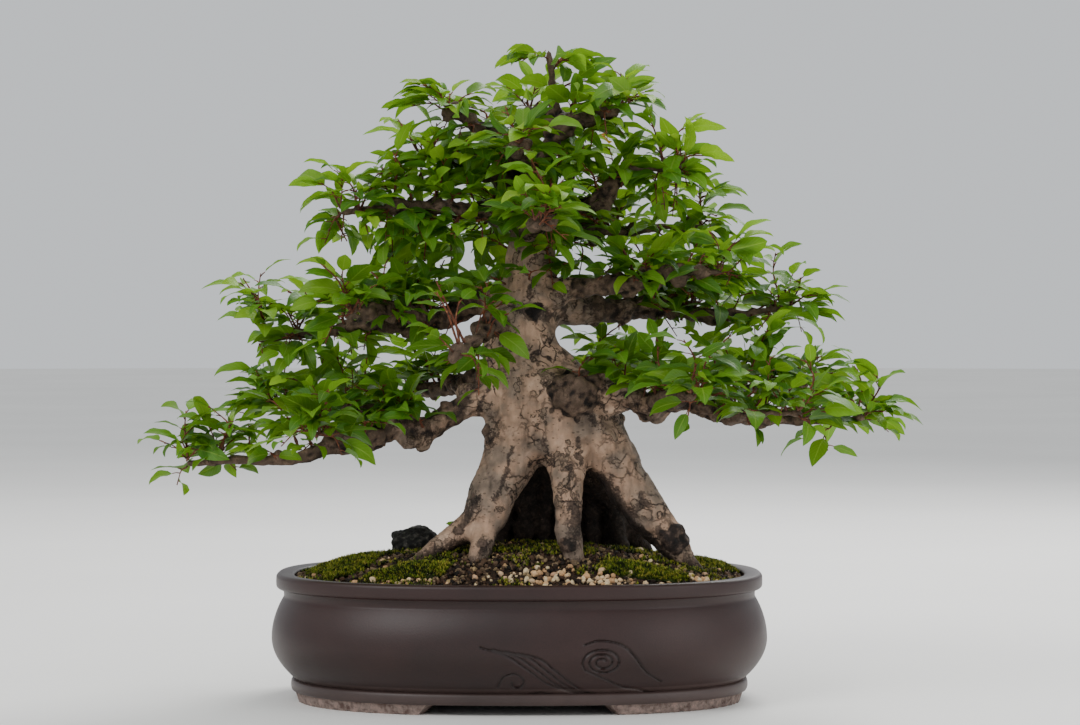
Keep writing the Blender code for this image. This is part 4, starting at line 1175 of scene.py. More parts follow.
def build_seedling(chance):
    """A sprout with four small leaves that has come up through the moss beside the left root."""
    x, y, _ = tree_place(-50, -34, 0)
    z = ground_at(ground_tree(), x, y)
    route = curve_through([(x, y, z - 0.002), (x + 0.001, y, z + 0.012), (x - 0.001, y, z + 0.023)], 4)
    stem = Gather()
    points, faces = tube(route, [0.0006] * len(route), 5)
    stem.take(points, faces, (0.0, 0.0, 0.0, 1.0))
    ride_as(stem.make("seedling_stem", bpy.data.materials["twig_bark"], "wood"), "leaves")
    angles = np.array([0.2, 3.3, 1.7, 4.9])
    ways = np.stack([np.cos(angles), np.sin(angles) * 0.6, np.sin(angles) * 0.6 + 0.25], axis=1)
    bases = np.array([route[-1][:]] * 2 + [route[-4][:]] * 2)
    lengths = np.array([0.0095, 0.009, 0.0075, 0.007])
    ups = np.tile((0.0, -0.8, 0.6), (4, 1))
    points, faces, values = leaf_grids(
        bases, ways, ups, lengths, lengths * 0.55, np.full(4, 0.2), np.full(4, 0.6), chance.random(4),
        np.full(4, 0.6),
    )
    piece = make_object("seedling_leaves", points, faces, bpy.data.materials["leaf_blade"])
    paint(piece, "blade", values)
    ride_as(piece, "leaves")


def moss_material(name, colours):
    """Moss: yellow-green tips over dark green stems, each tuft its own shade."""
    made, tree = new_material(name)
    place = add(tree, "TexCoord").outputs["Object"]
    own = add(tree, "Attribute", attribute_name="grain")
    split = add(tree, "SeparateColor", {"Color": own})
    patch = add(tree, "TexNoise", {"Vector": place, "Scale": per_metre(18.18), "Detail": 4.0})
    hue = add(tree, "Math", {0: patch, 1: 1.1, 2: split.outputs[0]}, operation="MULTIPLY_ADD")
    low = add(tree, "Math", {0: hue, 1: 0.55}, operation="SUBTRACT")
    colour = add(
        tree, "ValToRGB", {"Fac": low},
        stops=[(0.05, "#1c2409"), (0.32, colours.moss_dark), (0.58, colours.moss_green),
               (0.85, colours.moss_yellow), (1.0, "#b3a542")],
    )
    tip = add(tree, "MapRange", {"Value": split.outputs[1], "To Min": 0.25, "To Max": 1.25})
    shaded = add(tree, "VectorMath", {0: colour, "Scale": tip}, operation="SCALE")
    fine = add(tree, "TexNoise", {"Vector": place, "Scale": per_metre(1.1111), "Detail": 3.0})
    relief = add(tree, "Bump", {"Height": fine, "Strength": 0.6, "Distance": 0.0008})
    dull = add(tree, "MapRange", {"Value": fine, "To Min": 0.7, "To Max": 0.95})
    shader = add(
        tree, "BsdfPrincipled",
        {"Base Color": shaded, "Roughness": dull, "Normal": relief, "Specular IOR Level": 0.25},
    )
    return finish_material(made, shader)


def tufts(chance, roots, tall):
    """Moss stems: a rosette of thin pointed blades at each root. Returns points, faces and paint."""
    blades = 6
    count = len(roots)
    roots = np.repeat(np.asarray(roots), blades, axis=0)
    number = np.repeat(chance.random(count), blades)
    angle = chance.uniform(0, 2 * pi, count * blades)
    lean = chance.uniform(0.25, 1.1, count * blades)
    height = tall * chance.uniform(0.6, 1.25, count * blades)
    out = np.stack([np.cos(angle) * np.sin(lean), np.sin(angle) * np.sin(lean), np.cos(lean)], axis=1)
    side = np.stack([-np.sin(angle), np.cos(angle), np.zeros(len(angle))], axis=1) * (tall * 0.17)
    points = np.stack([roots - side, roots + side, roots + out * height[:, None]], axis=1).reshape(-1, 3)
    faces = np.arange(len(points)).reshape(-1, 3)
    tip = np.tile([0.15, 0.15, 1.0], len(roots))
    own = np.repeat(number, 3)
    return points, faces, np.stack([own, tip, own, np.ones(len(own))], axis=1)


def build_moss(sizes, colours):
    """A cushion with a nap of stems in place of each frame patch, and small clumps all over the grit."""
    chance = np.random.default_rng(77)
    finish = moss_material("moss_cushion", colours)
    for name in sorted(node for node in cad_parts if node.startswith("moss_")):
        mesh = melt(name + "_cushion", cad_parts[name].data, 0.0011, 2)
        points, _ = arrays_of(mesh)
        normals = normals_of(mesh)
        for index, point in enumerate(points):
            if normals[index, 2] > 0:
                where = Vector(point)
                lump = noise.noise(where * 85) + 0.5 * noise.noise(where * 220)
                points[index] += normals[index] * (0.0016 * lump - 0.0002)
        pick = [index for index in range(len(points)) if normals[index, 2] > 0.1 and chance.random() < 0.42]
        blade_points, blade_faces, blade_paint = tufts(chance, points[pick], sizes.moss_tall)
        faces = [tuple(face.vertices) for face in mesh.polygons]
        faces += [tuple(face + len(points)) for face in blade_faces]
        piece = make_object(
            name.replace("moss", "moss_patch"), np.concatenate([points, blade_points]), faces, finish,
        )
        cushion_paint = np.tile((0.3, 0.2, 0.0, 1.0), (len(points), 1))
        paint(piece, "grain", np.concatenate([cushion_paint, blade_paint]))
        bpy.data.meshes.remove(mesh)
        ride_as(piece, "moss", name)
    build_seedling(chance)
    places = scatter(chance, CLUMP_COUNT, lambda x, y: moss_share(x, y) > 0.02 + 0.2 * chance.random())
    places = np.array(places) + np.array((0, 0, 1)) * chance.uniform(0.0005, 0.0030, (len(places), 1))
    points, faces, values = tufts(chance, places, sizes.moss_tall)
    piece = make_object("moss_clumps", points, faces, finish)
    paint(piece, "grain", values)
    ride_as(piece, "moss")


def build_rock(colours):
    """A dark, pitted stone with sharp breaks."""
    mesh = melt("dark_rock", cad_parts["rock"].data, 0.0009, 2)
    points, _ = arrays_of(mesh)
    normals = normals_of(mesh)
    for index, point in enumerate(points):
        where = Vector(point)
        facet = noise.voronoi(where * 75)[0]
        lump = 0.0034 * (facet[0] - 0.45) + 0.0016 * noise.noise(where * 190)
        points[index] += normals[index] * (lump + 0.0008 * noise.noise(where * 420))
    stone = speckled_material(
        "dark_stone", [(0.30, "#0d0c0c"), (0.50, colours.rock_dark), (0.64, "#4a4742"), (0.78, "#6d675d")],
        4.167, 0.6, 0.9, 0.0012,
    )
    ride_as(show_melted("dark_rock", mesh, points, stone), "rock", "rock")


# ---------------------------------------------------------------- pot


def stoneware_material(name, colours):
    """Unglazed brown stoneware: a satin skin with fine clay grain, kiln clouds, painted shade in the incised
    lines, and pale rough feet.
    """
    made, tree = new_material(name)
    place = add(tree, "TexCoord").outputs["Object"]
    own = add(tree, "Attribute", attribute_name="ware")
    split = add(tree, "SeparateColor", {"Color": own})
    foot, carved, dust = split.outputs
    clouds = add(
        tree, "TexNoise", {"Vector": place, "Scale": per_metre(111.1), "Detail": 5.0, "Roughness": 0.55},
    )
    body = add(
        tree, "ValToRGB", {"Fac": clouds},
        stops=[(0.30, colours.ware_dark), (0.52, colours.ware_brown), (0.72, colours.ware_light)],
    )
    grit = add(
        tree, "TexNoise", {"Vector": place, "Scale": per_metre(1.25), "Detail": 4.0, "Roughness": 0.6},
    )
    speck = add(
        tree, "MapRange", {"Value": grit, "From Min": 0.3, "From Max": 0.7, "To Min": 0.86, "To Max": 1.14},
    )
    grained = add(tree, "VectorMath", {0: body, "Scale": speck}, operation="SCALE")
    chip = add(
        tree, "TexNoise", {"Vector": place, "Scale": per_metre(6.25), "Detail": 5.0, "Roughness": 0.7},
    )
    bare = add(
        tree, "ValToRGB", {"Fac": chip},
        stops=[(0.35, "#54403a"), (0.5, colours.ware_foot), (0.68, "#9c837a")],
    )
    foot_edge = add(tree, "Math", {0: chip, 1: 0.6, 2: foot}, operation="MULTIPLY_ADD")
    foot_part = add(tree, "ValToRGB", {"Fac": foot_edge}, stops=[(0.70, 0.0), (0.84, 1.0)])
    footed = add(tree, "MixRGB", {"Fac": foot_part, "Color1": grained, "Color2": bare})
    # Painted shade darkens the incised lines.
    painted_groove_shade = add(tree, "Math", {0: carved, 1: 0.75}, operation="MULTIPLY")
    lined = add(tree, "MixRGB", {"Fac": painted_groove_shade, "Color1": footed, "Color2": linear("#1d1412")})
    dust_edge = add(tree, "Math", {0: clouds, 1: dust}, operation="MULTIPLY")
    dusty = add(tree, "MixRGB", {"Fac": dust_edge, "Color1": lined, "Color2": linear("#6d5f5a")})
    fine = add(tree, "Bump", {"Height": grit, "Strength": 0.22, "Distance": 0.0005})
    rubbed = add(tree, "Math", {0: foot_part, 1: chip}, operation="MULTIPLY")
    coarse = add(tree, "Bump", {"Height": rubbed, "Normal": fine, "Strength": 0.8, "Distance": 0.0015})
    satin = add(tree, "MapRange", {"Value": clouds, "To Min": 0.36, "To Max": 0.52})
    dull = add(tree, "MixRGB", {"Fac": foot_part, "Color1": satin, "Color2": linear("#f0f0f0")})
    shader = add(
        tree, "BsdfPrincipled",
        {"Base Color": dusty, "Roughness": dull, "Normal": coarse, "Specular IOR Level": 0.42},
    )
    return finish_material(made, shader)


# The spiral's turns, and the steps it is drawn in.
CURL_TURNS = 2.5
CURL_STEPS = 150


def carving_lines():
    """The plain incised wave and spiral on the pot's front: half width, and x and z along each, in mm."""
    lines = []
    curl = []
    for step in range(CURL_STEPS + 1):
        turns = step * CURL_TURNS / CURL_STEPS
        angle = 2 * pi * turns + 0.6
        curl.append((66 + (3.0 + 5.2 * turns) * cos(angle), 44 + (2.2 + 3.6 * turns) * sin(angle)))
    lines.append((1.15, curl))
    crest = curl[-1]
    lines.append((1.25, [crest, (70, 29), (82, 23), (96, 20), (112, 14)]))
    lines.append((1.1, [(52, 58), (64, 61), (80, 58), (90, 50), (100, 36), (112, 27)]))
    for shift in range(4):
        lines.append((1.15, [
            (-30 + 10 * shift, 56 - 1.5 * shift), (-10 + 9 * shift, 50 - shift),
            (8 + 8 * shift, 38 - shift), (24 + 9 * shift, 26 - 2 * shift), (46 + 9 * shift, 18 - shift),
        ]))
    lines.append((1.1, [(-16, 24), (-12, 32), (-3, 35), (4, 30), (2, 24), (-4, 24), (-5, 28)]))
    lines.append((1.1, [(-10, 17), (2, 15), (16, 19), (26, 17)]))
    return lines


def carve_depth(x, z):
    """How deep each place is incised, from 0 to 1."""
    depth = np.zeros(len(x))
    inside = (x > -45) & (x < 125)
    px, pz = x[inside], z[inside]
    best = np.zeros(len(px))
    for half, line in carving_lines():
        steps = 1 if len(line) > CURL_STEPS else 6
        path = np.array([point[:2] for point in curve_through([(*point, 0) for point in line], steps)])
        away = np.full(len(px), 1e9)
        for (x0, z0), (x1, z1) in zip(path[:-1], path[1:]):
            long = (x1 - x0) ** 2 + (z1 - z0) ** 2
            share = np.clip(((px - x0) * (x1 - x0) + (pz - z0) * (z1 - z0)) / max(long, 1e-9), 0, 1)
            away = np.minimum(away, np.hypot(px - x0 - share * (x1 - x0), pz - z0 - share * (z1 - z0)))
        best = np.maximum(best, np.clip(1 - (away / half) ** 2, 0, 1) ** 0.7)
    depth[inside] = best
    return depth


def plan_curve(angles, inset):
    """Points on the pot's rounded oval plan, this far inside the lip's outer edge."""
    half_x, half_y = plan_halves(inset)
    reach = np.abs(np.cos(angles)) ** PLAN_POWER + np.abs(np.sin(angles)) ** PLAN_POWER
    reach **= -1 / PLAN_POWER
    return POT_MIDDLE.x + half_x * reach * np.cos(angles), POT_MIDDLE.y + half_y * reach * np.sin(angles)


# Rows of the pot's profile: across its underside, over the rail, up the belly, and on up the worked neck.
UNDER_ROWS = 3
RAIL_ROWS = 9
BELLY_ROWS = 80
WORKED_NECK_ROWS = 4
# The incised lines lie between these places along x, from the pot's middle.
CARVED_FROM = -0.044
CARVED_TO = 0.124


def pot_angles():
    """Angles round the plan: close together along the front, where the incised lines run."""
    dense = np.linspace(0, 2 * pi, 60001)
    x, y = plan_curve(dense, 0.0)
    run = np.concatenate([[0], np.cumsum(np.hypot(np.diff(x), np.diff(y)))])
    fine = (y < POT_MIDDLE.y) & (x > POT_MIDDLE.x + CARVED_FROM) & (x < POT_MIDDLE.x + CARVED_TO)
    pace = np.where(fine, 0.0009, 0.0032)
    steps = np.concatenate([[0], np.cumsum(np.diff(run) / pace[:-1])])
    wanted = np.linspace(0, steps[-1], int(steps[-1]))[:-1]
    return np.interp(wanted, steps, dense)


def pot_profile(sizes):
    """Height and inset from the lip's edge, from under the base up the outside and down the inside."""
    top = POT_HIGH.z
    foot = sizes.foot_high
    rail = foot + sizes.rail_high
    rows = [(foot, 0.060), (foot, 0.030), (foot, 0.018)]
    for share in np.linspace(0, 1, RAIL_ROWS):
        angle = pi * (share - 0.5)
        rows.append((foot + sizes.rail_high * (0.5 + 0.5 * sin(angle)), 0.0135 - 0.0016 * cos(angle)))
    neck_low = top - sizes.lip_high - 0.007
    least = sin(pi * 0.10) ** 0.75
    for share in np.linspace(0, 1, BELLY_ROWS):
        swell = (sin(pi * (0.10 + 0.80 * share)) ** 0.75 - least) / (1 - least)
        end = 0.0150 if share < 0.5 else 0.006
        rows.append((rail + 0.0006 + (neck_low - rail - 0.0006) * share, end + (-BELLY_OUT - end) * swell))
    lip_low = top - sizes.lip_high
    for share in np.linspace(0.15, 1, 7):
        rows.append((neck_low + (lip_low - neck_low) * share, 0.0062 - 0.0010 * share**3))
    for share in np.linspace(0, 1, 7):
        angle = pi / 2 * share
        rows.append((lip_low + 0.0030 * (1 - cos(angle)), 0.0036 * (1 - sin(angle))))
    rows += [(lip_low + 0.0055, -0.0001), (top - 0.0060, -0.0001)]
    for share in np.linspace(0, 1, 8):
        angle = pi / 2 * share
        rows.append((top - 0.0034 * (1 - sin(angle)), 0.0036 * (1 - cos(angle))))
    rows += [(top - 0.0001, 0.0065), (top - 0.0003, 0.0095), (top - 0.0006, 0.0125)]
    for share in np.linspace(0.2, 1, 6):
        angle = pi / 2 * share
        rows.append((top - 0.0008 - 0.0020 * (1 - cos(angle)), 0.0130 + 0.0020 * sin(angle)))
    floor = foot + 0.010
    for share in np.linspace(0, 1, 12)[1:]:
        height = top - 0.006 + (floor - top + 0.006) * share
        level = (height - floor) / (top - floor)
        bowl = 0.016 - 0.010 * sin(pi * min(1.0, max(0.0, level)))
        bowl += max(0.0, 1 - level * 3.2) ** 2 * (0.023 - bowl)
        rows.append((height, max(bowl, 0.015 if level > 0.86 else 0)))
    rows += [(floor, 0.034), (floor, 0.062)]
    return np.array(rows)


def build_pot(sizes, finish):
    """Rail, swelling belly with its incised wave, neck, lip, bowl and floor, carried round the plan."""
    angles = pot_angles()
    rows = pot_profile(sizes)
    points = []
    around = len(angles)
    for height, inset in rows:
        x, y = plan_curve(angles, inset)
        points.append(np.stack([x, y, np.full(around, height)], axis=1))
    points = np.concatenate(points)
    level = np.repeat(np.arange(len(rows)), around)
    belly_start = UNDER_ROWS + RAIL_ROWS
    outside = (level >= belly_start) & (level < belly_start + BELLY_ROWS + WORKED_NECK_ROWS)
    carve = np.zeros(len(points))
    front = outside & (points[:, 1] < POT_MIDDLE.y)
    carve[front] = carve_depth((points[front, 0] - POT_MIDDLE.x) * 1000, points[front, 2] * 1000)
    out = points - np.array((POT_MIDDLE.x, POT_MIDDLE.y, 0))
    out[:, 2] = 0
    slope = np.zeros((len(out), 3))
    for axis, half in enumerate(plan_halves(-BELLY_OUT)):
        slope[:, axis] = np.sign(out[:, axis]) * (np.abs(out[:, axis]) / half) ** (PLAN_POWER - 1) / half
    slope /= np.maximum(np.linalg.norm(slope, axis=1, keepdims=True), 1e-9)
    places = [Vector(point) for point in points]
    hand = np.array([noise.noise(place * 14) + 0.4 * noise.noise(place * 45) for place in places])
    points -= slope * (carve * sizes.carving_deep)[:, None]
    points += slope * (hand * 0.00035 * outside)[:, None]
    ring = np.arange(around)
    after = (ring + 1) % around
    faces = []
    for row in range(len(rows) - 1):
        low, high = row * around, (row + 1) * around
        faces.append(np.stack([low + ring, low + after, high + after, high + ring], axis=1))
    faces = [tuple(face) for face in np.concatenate(faces)]
    faces.append(tuple(range(around - 1, -1, -1)))
    faces.append(tuple((len(rows) - 1) * around + ring))
    dust = smoothstep(0.45, 1.0, (rows[level, 0] < POT_LOW.z + 0.022) * 1.0) * 0.5
    # The carving depth also sets the painted shade in the incised lines.
    values = np.stack([np.zeros(len(points)), carve, dust, np.ones(len(points))], axis=1)
    shell = make_object("pot_shell", points, faces, finish)
    paint(shell, "ware", values)
    for side in (-1, 1):
        model = bmesh.new()
        middle = (POT_MIDDLE.x + side * sizes.drain_apart / 2, POT_MIDDLE.y, sizes.foot_high + 0.005)
        radius = sizes.drain_wide / 2
        bmesh.ops.create_cone(
            model, cap_ends=True, segments=48, radius1=radius, radius2=radius, depth=0.03,
            matrix=Matrix.Translation(middle),
        )
        mesh = bpy.data.meshes.new("drain_hole")
        model.to_mesh(mesh)
        model.free()
        hole = placed("drain_hole", mesh)
        step = shell.modifiers.new("hole", "BOOLEAN")
        step.operation = "DIFFERENCE"
        step.solver = "MANIFOLD"
        step.object = hole
        mesh = evaluated(shell)
        shell.modifiers.clear()
        shell.data = mesh
        bpy.data.objects.remove(hole)
    shell.data.shade_smooth()
    shell.data.set_sharp_from_angle(angle=radians(50))
    ride_as(shell, "stoneware", "pot")


def build_feet(sizes, finish):
    """Four low feet that follow the plan, their bottom edges chipped and rubbed pale."""
    gather = Gather()
    inner, outer = radians(112), radians(166)
    slant = radians(2.6)
    steps = 120
    spans = [
        (inner, outer), (pi - outer, pi - inner), (inner + pi, outer + pi),
        (2 * pi - outer, 2 * pi - inner),
    ]
    section = []
    high = sizes.foot_high + 0.0006
    for share in np.linspace(0, 1, 7):
        section.append((0.0145 + 0.0024 * (1 - share), high * share))
    section += [(0.0200, high), (0.0260, high), (0.0305, high)]
    for share in np.linspace(1, 0, 6):
        section.append((0.0310 - 0.002 * (1 - share), high * share))
    section += [(0.0250, 0.0), (0.0205, 0.0)]
    section = np.array(section)
    for start, end in spans:
        sheets = []
        for step in range(steps + 1):
            share = step / steps
            top = start + (end - start) * share
            bottom = start + slant + (end - start - 2 * slant) * share
            level = section[:, 1] / high
            angle = bottom + (top - bottom) * level
            x, y = plan_curve(angle, section[:, 0])
            sheets.append(np.stack([x, y, section[:, 1]], axis=1))
        points = np.concatenate(sheets)
        count = len(section)
        for point in points:
            where = Vector(point)
            rough = noise.noise(where * 170) + 0.6 * noise.noise(where * 420)
            low = max(0.0, 1 - point[2] / 0.004)
            edge = 0.0011 * rough * low + 0.0003 * rough
            if point[2] < high * 0.9:
                point[2] = max(0.0, point[2] + max(0.0, edge))
            if point[2] < high * 0.9:
                sway = (noise.noise(where * 140 + Vector((5, 0, 0))), noise.noise(where * 140))
                point[:2] += np.array(sway) * 0.0004
        faces = []
        for step in range(steps):
            for turn in range(count):
                after = (turn + 1) % count
                low, up = step * count, (step + 1) * count
                faces.append((low + turn, up + turn, up + after, low + after))
        faces.append(tuple(range(count)))
        faces.append(tuple(range((steps + 1) * count - 1, steps * count - 1, -1)))
        gather.take(points, faces, (1.0, 0.0, 0.0, 1.0))
    feet = gather.make("pot_feet", finish, "ware")
    feet.data.set_sharp_from_angle(angle=radians(50))
    ride_as(feet, "stoneware")


# ---------------------------------------------------------------- hidden fittings


def plain_material(name, low, high, stain, rough_low, rough_high, metallic=0.0):
    """A worked surface with a fine stain this wide in mm, for the small fittings inside the pot."""
    made, tree = new_material(name)
    place = add(tree, "TexCoord").outputs["Object"]
    grain = add(
        tree, "TexNoise", {"Vector": place, "Scale": per_metre(stain), "Detail": 5.0, "Roughness": 0.6},
    )
    colour = add(tree, "ValToRGB", {"Fac": grain}, stops=[(0.35, low), (0.65, high)])
    dull = add(tree, "MapRange", {"Value": grain, "To Min": rough_low, "To Max": rough_high})
    relief = add(tree, "Bump", {"Height": grain, "Strength": 0.4, "Distance": 0.0006})
    shader = add(
        tree, "BsdfPrincipled",
        {"Base Color": colour, "Roughness": dull, "Metallic": metallic, "Normal": relief},
    )
    return finish_material(made, shader)


def finish_fittings():
    """The nets, wire clips and gravel keep the frame's own shapes and take real finishes."""
    finishes = {
        "drain_mesh": plain_material("black_net_plastic", "#15161a", "#2a2b2f", 3.333, 0.45, 0.65),
        "drain_clip": plain_material("anodised_clip_wire", "#7a4f34", "#a06a48", 2.5, 0.25, 0.45, 1.0),
        "drainage_layer": speckled_material(
            "drainage_gravel", [(0.30, "#4a4038"), (0.5, "#8a7a68"), (0.7, "#b8a890")], 6.25, 0.8, 0.95,
            0.003,
        ),
    }
    for name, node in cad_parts.items():
        for start, finish in finishes.items():
            if name.startswith(start):
                node.data.materials.clear()
                node.data.materials.append(finish)


# ---------------------------------------------------------------- stage


# Each light: name, place and width in metres; the camera's place, aim and lens in mm.
LIGHTS = [("key", (-1.7, -2.0, 2.3), 1.6), ("back", (0.9, 1.7, 2.2), 1.5), ("fill", (2.3, -1.6, 1.2), 1.8)]
LIGHT_AIM = Vector((0, 0, 0.25))
CAMERA_PLACE = Vector((0.009, -2.625, 0.322))
CAMERA_AIM = Vector((0.009, -0.025, 0.276))
CAMERA_LENS = 105


def turned_to(place, aim):
    """The rotation that points a light or camera at this place towards aim."""
    return (aim - place).to_track_quat("-Z", "Y").to_euler()


def build_stage(sizes):
    """A wide pale floor under an even pale sky, three large soft lights and the camera."""
    made, tree = new_material("pale_floor")
    place = add(tree, "TexCoord").outputs["Object"]
    cloud = add(tree, "TexNoise", {"Vector": place, "Scale": per_metre(666.7), "Detail": 2.0})
    tone = add(tree, "ValToRGB", {"Fac": cloud}, stops=[(0.3, "#ebe9e5"), (0.7, "#f1efeb")])
    surface = add(tree, "BsdfPrincipled", {"Base Color": tone, "Roughness": 0.7})
    finish_material(made, surface)
    around = 96
    angles = np.linspace(0, 2 * pi, around + 1)[:-1]
    rim = np.stack([np.cos(angles), np.sin(angles), angles * 0], axis=1)
    points = np.concatenate([rim * 0.6, rim * 3.0, rim * sizes.floor_radius])
    turn = np.arange(around)
    after = (turn + 1) % around
    faces = [tuple(turn)]
    for low, high in ((0, around), (around, 2 * around)):
        strip = np.stack([low + turn, high + turn, high + after, low + after], axis=1)
        faces += [tuple(face) for face in strip]
    floor = make_object("floor", points, faces, made)
    for (name, where, size), watts in zip(LIGHTS, (sizes.key_power, sizes.back_power, sizes.fill_power)):
        light = bpy.data.lights.new(name + "_light", "AREA")
        light.shape = "SQUARE"
        light.size = size
        light.energy = watts
        lamp = placed(name + "_light", light)
        lamp.location = where
        lamp.rotation_euler = turned_to(Vector(where), LIGHT_AIM)
    world = bpy.context.scene.world or bpy.data.worlds.new("studio")
    bpy.context.scene.world = world
    world.use_nodes = True
    back = world.node_tree.nodes["Background"]
    back.inputs["Color"].default_value = linear("#eef2f6")
    back.inputs["Strength"].default_value = sizes.sky
    camera = bpy.data.cameras.new("camera")
    camera.lens = CAMERA_LENS
    camera.sensor_width = 36
    seat = placed("camera", camera)
    seat.location = CAMERA_PLACE
    seat.rotation_euler = turned_to(CAMERA_PLACE, CAMERA_AIM)
    bpy.context.scene.camera = seat


# ---------------------------------------------------------------- add-on


def length(label, text, value, low=0.0, high=1.0):
    """A length in metres."""
    return bpy.props.FloatProperty(
        name=label, description=text, default=value, min=low, max=high, subtype="DISTANCE", unit="LENGTH",
        precision=4,
    )


def power(label, text, value):
    """A light's power in watts."""
    return bpy.props.FloatProperty(
        name=label, description=text, default=value, min=0.0, max=5000.0, unit="POWER",
    )


def colour(label, text, value):
    """A colour whose default is given as an sRGB hex value."""
    return bpy.props.FloatVectorProperty(
        name=label, description=text, default=linear(value), min=0.0, max=1.0, size=4, subtype="COLOR",
    )


class BonsaiSizes(bpy.types.PropertyGroup):
    """Sizes of the looks that the frame leaves open."""

    bark_step: length("Bark skin step", "Spacing of the wood's surface points", 0.00202, 0.0012, 0.006)
    soil_step: length("Soil skin step", "Spacing of the soil bed's surface points", 0.0028, 0.002, 0.01)
    leaf_long: length("Leaf length", "Length of a full-grown leaf", 0.036, 0.01, 0.1)
    stalk_long: length("Leaf stalk length", "Length of a leaf's stalk", 0.0055, 0.001, 0.02)
    twig_thick: length("Twig radius", "Radius of a young twig where it starts", 0.0012, 0.0004, 0.004)
    shoot_apart: length("Shoot spacing", "Distance between shoots on bare wood", 0.014, 0.005, 0.05)
    shoot_ground: bpy.props.FloatProperty(
        name="Ground per shoot", description="Plan area that one shoot covers", default=0.00056, min=0.0001,
        max=0.01, precision=5, unit="AREA",
    )
    grit_small: length("Smallest grit", "Width of the smallest dark grains", 0.0022, 0.001, 0.01)
    grit_large: length("Largest grit", "Width of the largest dark grains", 0.0052, 0.001, 0.01)
    pumice_small: length("Smallest pumice", "Width of the smallest pale grains", 0.0027, 0.001, 0.01)
    pumice_large: length("Largest pumice", "Width of the largest pale grains", 0.0066, 0.001, 0.012)
    moss_tall: length("Moss height", "Height of a moss stem", 0.0030, 0.001, 0.01)
    lip_high: length("Lip height", "Height of the pot's lip band", 0.0125, 0.004, 0.03)
    rail_high: length("Rail height", "Height of the bead round the pot's base", 0.009, 0.003, 0.02)
    foot_high: length("Foot height", "Height of the pot's feet", 0.0085, 0.003, 0.02)
    carving_deep: length("Incised depth", "Depth of the incised wave", 0.0014, 0.0002, 0.003)
    drain_wide: length("Drain hole", "Width of each drainage hole", 0.028, 0.01, 0.04)
    drain_apart: length("Drain spacing", "Distance between the drainage holes", 0.170, 0.1, 0.25)
    key_power: power("Key light", "Strength of the soft light from the left", 52.0)
    back_power: power("Back light", "Strength of the soft light behind the tree", 80.0)
    fill_power: power("Fill light", "Strength of the soft light from the right", 18.0)
    floor_radius: bpy.props.FloatProperty(
        name="Floor radius", description="Radius of the floor", default=14.0, min=1, max=100, unit="LENGTH",
    )
    sky: bpy.props.FloatProperty(
        name="Sky", description="Strength of the even studio light", default=0.85, min=0, max=5,
    )


class BonsaiColours(bpy.types.PropertyGroup):
    """Colours of the materials."""

    bark_pale: colour("Pale bark", "Smooth patches of the trunk", "#c4a68f")
    bark_tan: colour("Tan bark", "Most of the trunk and roots", "#a78871")
    bark_grey: colour("Grey bark", "Weathered patches of the trunk", "#837162")
    bark_scale: colour("Bark scales", "Old scales that stay on the trunk", "#786858")
    branch_dark: colour("Dark branch", "Folds of the branch bark", "#33271f")
    branch_light: colour("Light branch", "Swellings of the branch bark", "#6b5546")
    twig_red: colour("Twig", "Young red-brown twigs", "#7a4229")
    leaf_dark: colour("Old leaf", "Shaded mature leaves", "#24500f")
    leaf_green: colour("Leaf", "Most leaves", "#3b6d12")
    leaf_fresh: colour("Fresh leaf", "Young leaves", "#66921d")
    leaf_vein: colour("Leaf vein", "Midrib and veins", "#98b54e")
    soil_dark: colour("Soil", "Moist dark grit", "#2b1e16")
    pumice_tan: colour("Tan pumice", "Stained pumice", "#cfa376")
    pumice_cream: colour("Cream pumice", "Clean pumice", "#dec29a")
    moss_dark: colour("Dark moss", "Shaded moss", "#37450f")
    moss_green: colour("Green moss", "Fresh moss", "#6c8220")
    moss_yellow: colour("Yellow moss", "Moss tips in the light", "#a7a636")
    rock_dark: colour("Dark rock", "Wet dark stone", "#23211f")
    ware_dark: colour("Dark stoneware", "Darkest kiln clouds", "#20110f")
    ware_brown: colour("Brown stoneware", "Most of the pot", "#2b1714")
    ware_light: colour("Light stoneware", "Palest kiln clouds", "#331e1b")
    ware_foot: colour("Bare clay", "Rubbed feet", "#7c6c64")


def settings(context):
    """The sizes and colours that the panel shows."""
    return context.scene.bonsai_sizes, context.scene.bonsai_colours


class BONSAI_OT_wood(bpy.types.Operator):
    """Build the trunk, roots and branches with their bark"""

    bl_idname = "bonsai.wood"
    bl_label = "Wood"

    def execute(self, context):
        sizes, colours = settings(context)
        build_wood(sizes, colours)
        return {"FINISHED"}


class BONSAI_OT_leaves(bpy.types.Operator):
    """Build every spray of leaves and the twigs that carry them"""

    bl_idname = "bonsai.leaves"
    bl_label = "Leaves and twigs"

    def execute(self, context):
        sizes, colours = settings(context)
        build_leaves(sizes, colours)
        return {"FINISHED"}


class BONSAI_OT_soil(bpy.types.Operator):
    """Build the soil bed, its dark grit and the pumice"""

    bl_idname = "bonsai.soil"
    bl_label = "Soil and grit"

    def execute(self, context):
        sizes, colours = settings(context)
        build_soil(sizes, colours)
        return {"FINISHED"}


class BONSAI_OT_moss(bpy.types.Operator):
    """Build the moss cushions and clumps"""

    bl_idname = "bonsai.moss"
    bl_label = "Moss"

    def execute(self, context):
        sizes, colours = settings(context)
        build_moss(sizes, colours)
        return {"FINISHED"}


class BONSAI_OT_rock(bpy.types.Operator):
    """Build the dark stone beside the roots"""

    bl_idname = "bonsai.rock"
    bl_label = "Rock"

    def execute(self, context):
        build_rock(settings(context)[1])
        return {"FINISHED"}


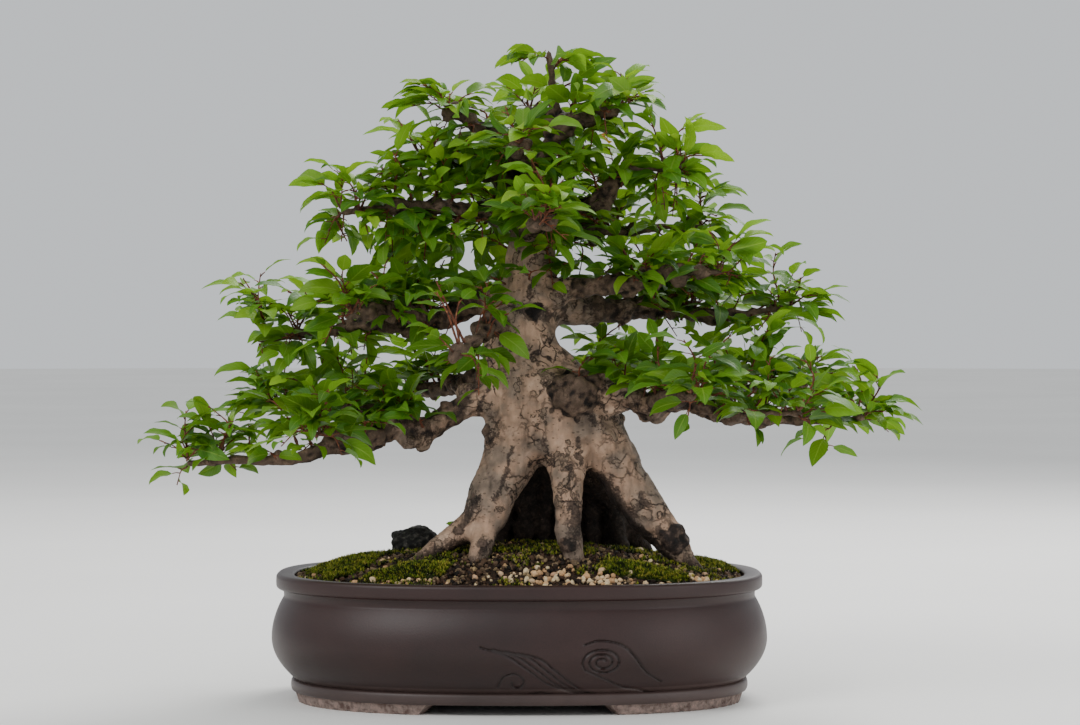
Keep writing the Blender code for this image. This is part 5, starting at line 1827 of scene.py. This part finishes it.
class BONSAI_OT_pot(bpy.types.Operator):
    """Build the stoneware pot and its feet"""

    bl_idname = "bonsai.pot"
    bl_label = "Pot"

    def execute(self, context):
        sizes, colours = settings(context)
        finish = stoneware_material("stoneware_unglazed", colours)
        build_pot(sizes, finish)
        build_feet(sizes, finish)
        return {"FINISHED"}


class BONSAI_OT_fittings(bpy.types.Operator):
    """Give the net, clips and gravel inside the pot their finishes"""

    bl_idname = "bonsai.fittings"
    bl_label = "Drain fittings"

    def execute(self, context):
        finish_fittings()
        return {"FINISHED"}


class BONSAI_OT_stage(bpy.types.Operator):
    """Build the floor, lights and camera"""

    bl_idname = "bonsai.stage"
    bl_label = "Stage"

    def execute(self, context):
        build_stage(settings(context)[0])
        return {"FINISHED"}


OPERATORS = (
    BONSAI_OT_wood, BONSAI_OT_leaves, BONSAI_OT_soil, BONSAI_OT_moss, BONSAI_OT_rock, BONSAI_OT_pot,
    BONSAI_OT_fittings, BONSAI_OT_stage,
)


class BONSAI_PT_panel(bpy.types.Panel):
    """Sizes, colours and one button for each step"""

    bl_label = "Bonsai"
    bl_space_type = "VIEW_3D"
    bl_region_type = "UI"
    bl_category = "Bonsai"

    def draw(self, context):
        layout = self.layout
        for made in OPERATORS:
            layout.operator(made.bl_idname)
        for group in (context.scene.bonsai_sizes, context.scene.bonsai_colours):
            box = layout.box()
            for name in group.__annotations__:
                box.prop(group, name)


CLASSES = (BonsaiSizes, BonsaiColours, *OPERATORS, BONSAI_PT_panel)


def register():
    for made in CLASSES:
        bpy.utils.register_class(made)
    bpy.types.Scene.bonsai_sizes = bpy.props.PointerProperty(type=BonsaiSizes)
    bpy.types.Scene.bonsai_colours = bpy.props.PointerProperty(type=BonsaiColours)


def unregister():
    del bpy.types.Scene.bonsai_colours
    del bpy.types.Scene.bonsai_sizes
    for made in reversed(CLASSES):
        bpy.utils.unregister_class(made)


def main():
    """Registers the add-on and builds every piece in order."""
    register()
    bpy.ops.bonsai.wood()
    bpy.ops.bonsai.leaves()
    bpy.ops.bonsai.soil()
    bpy.ops.bonsai.moss()
    bpy.ops.bonsai.rock()
    bpy.ops.bonsai.pot()
    bpy.ops.bonsai.fittings()
    bpy.ops.bonsai.stage()


if __name__ == "__main__":
    main()
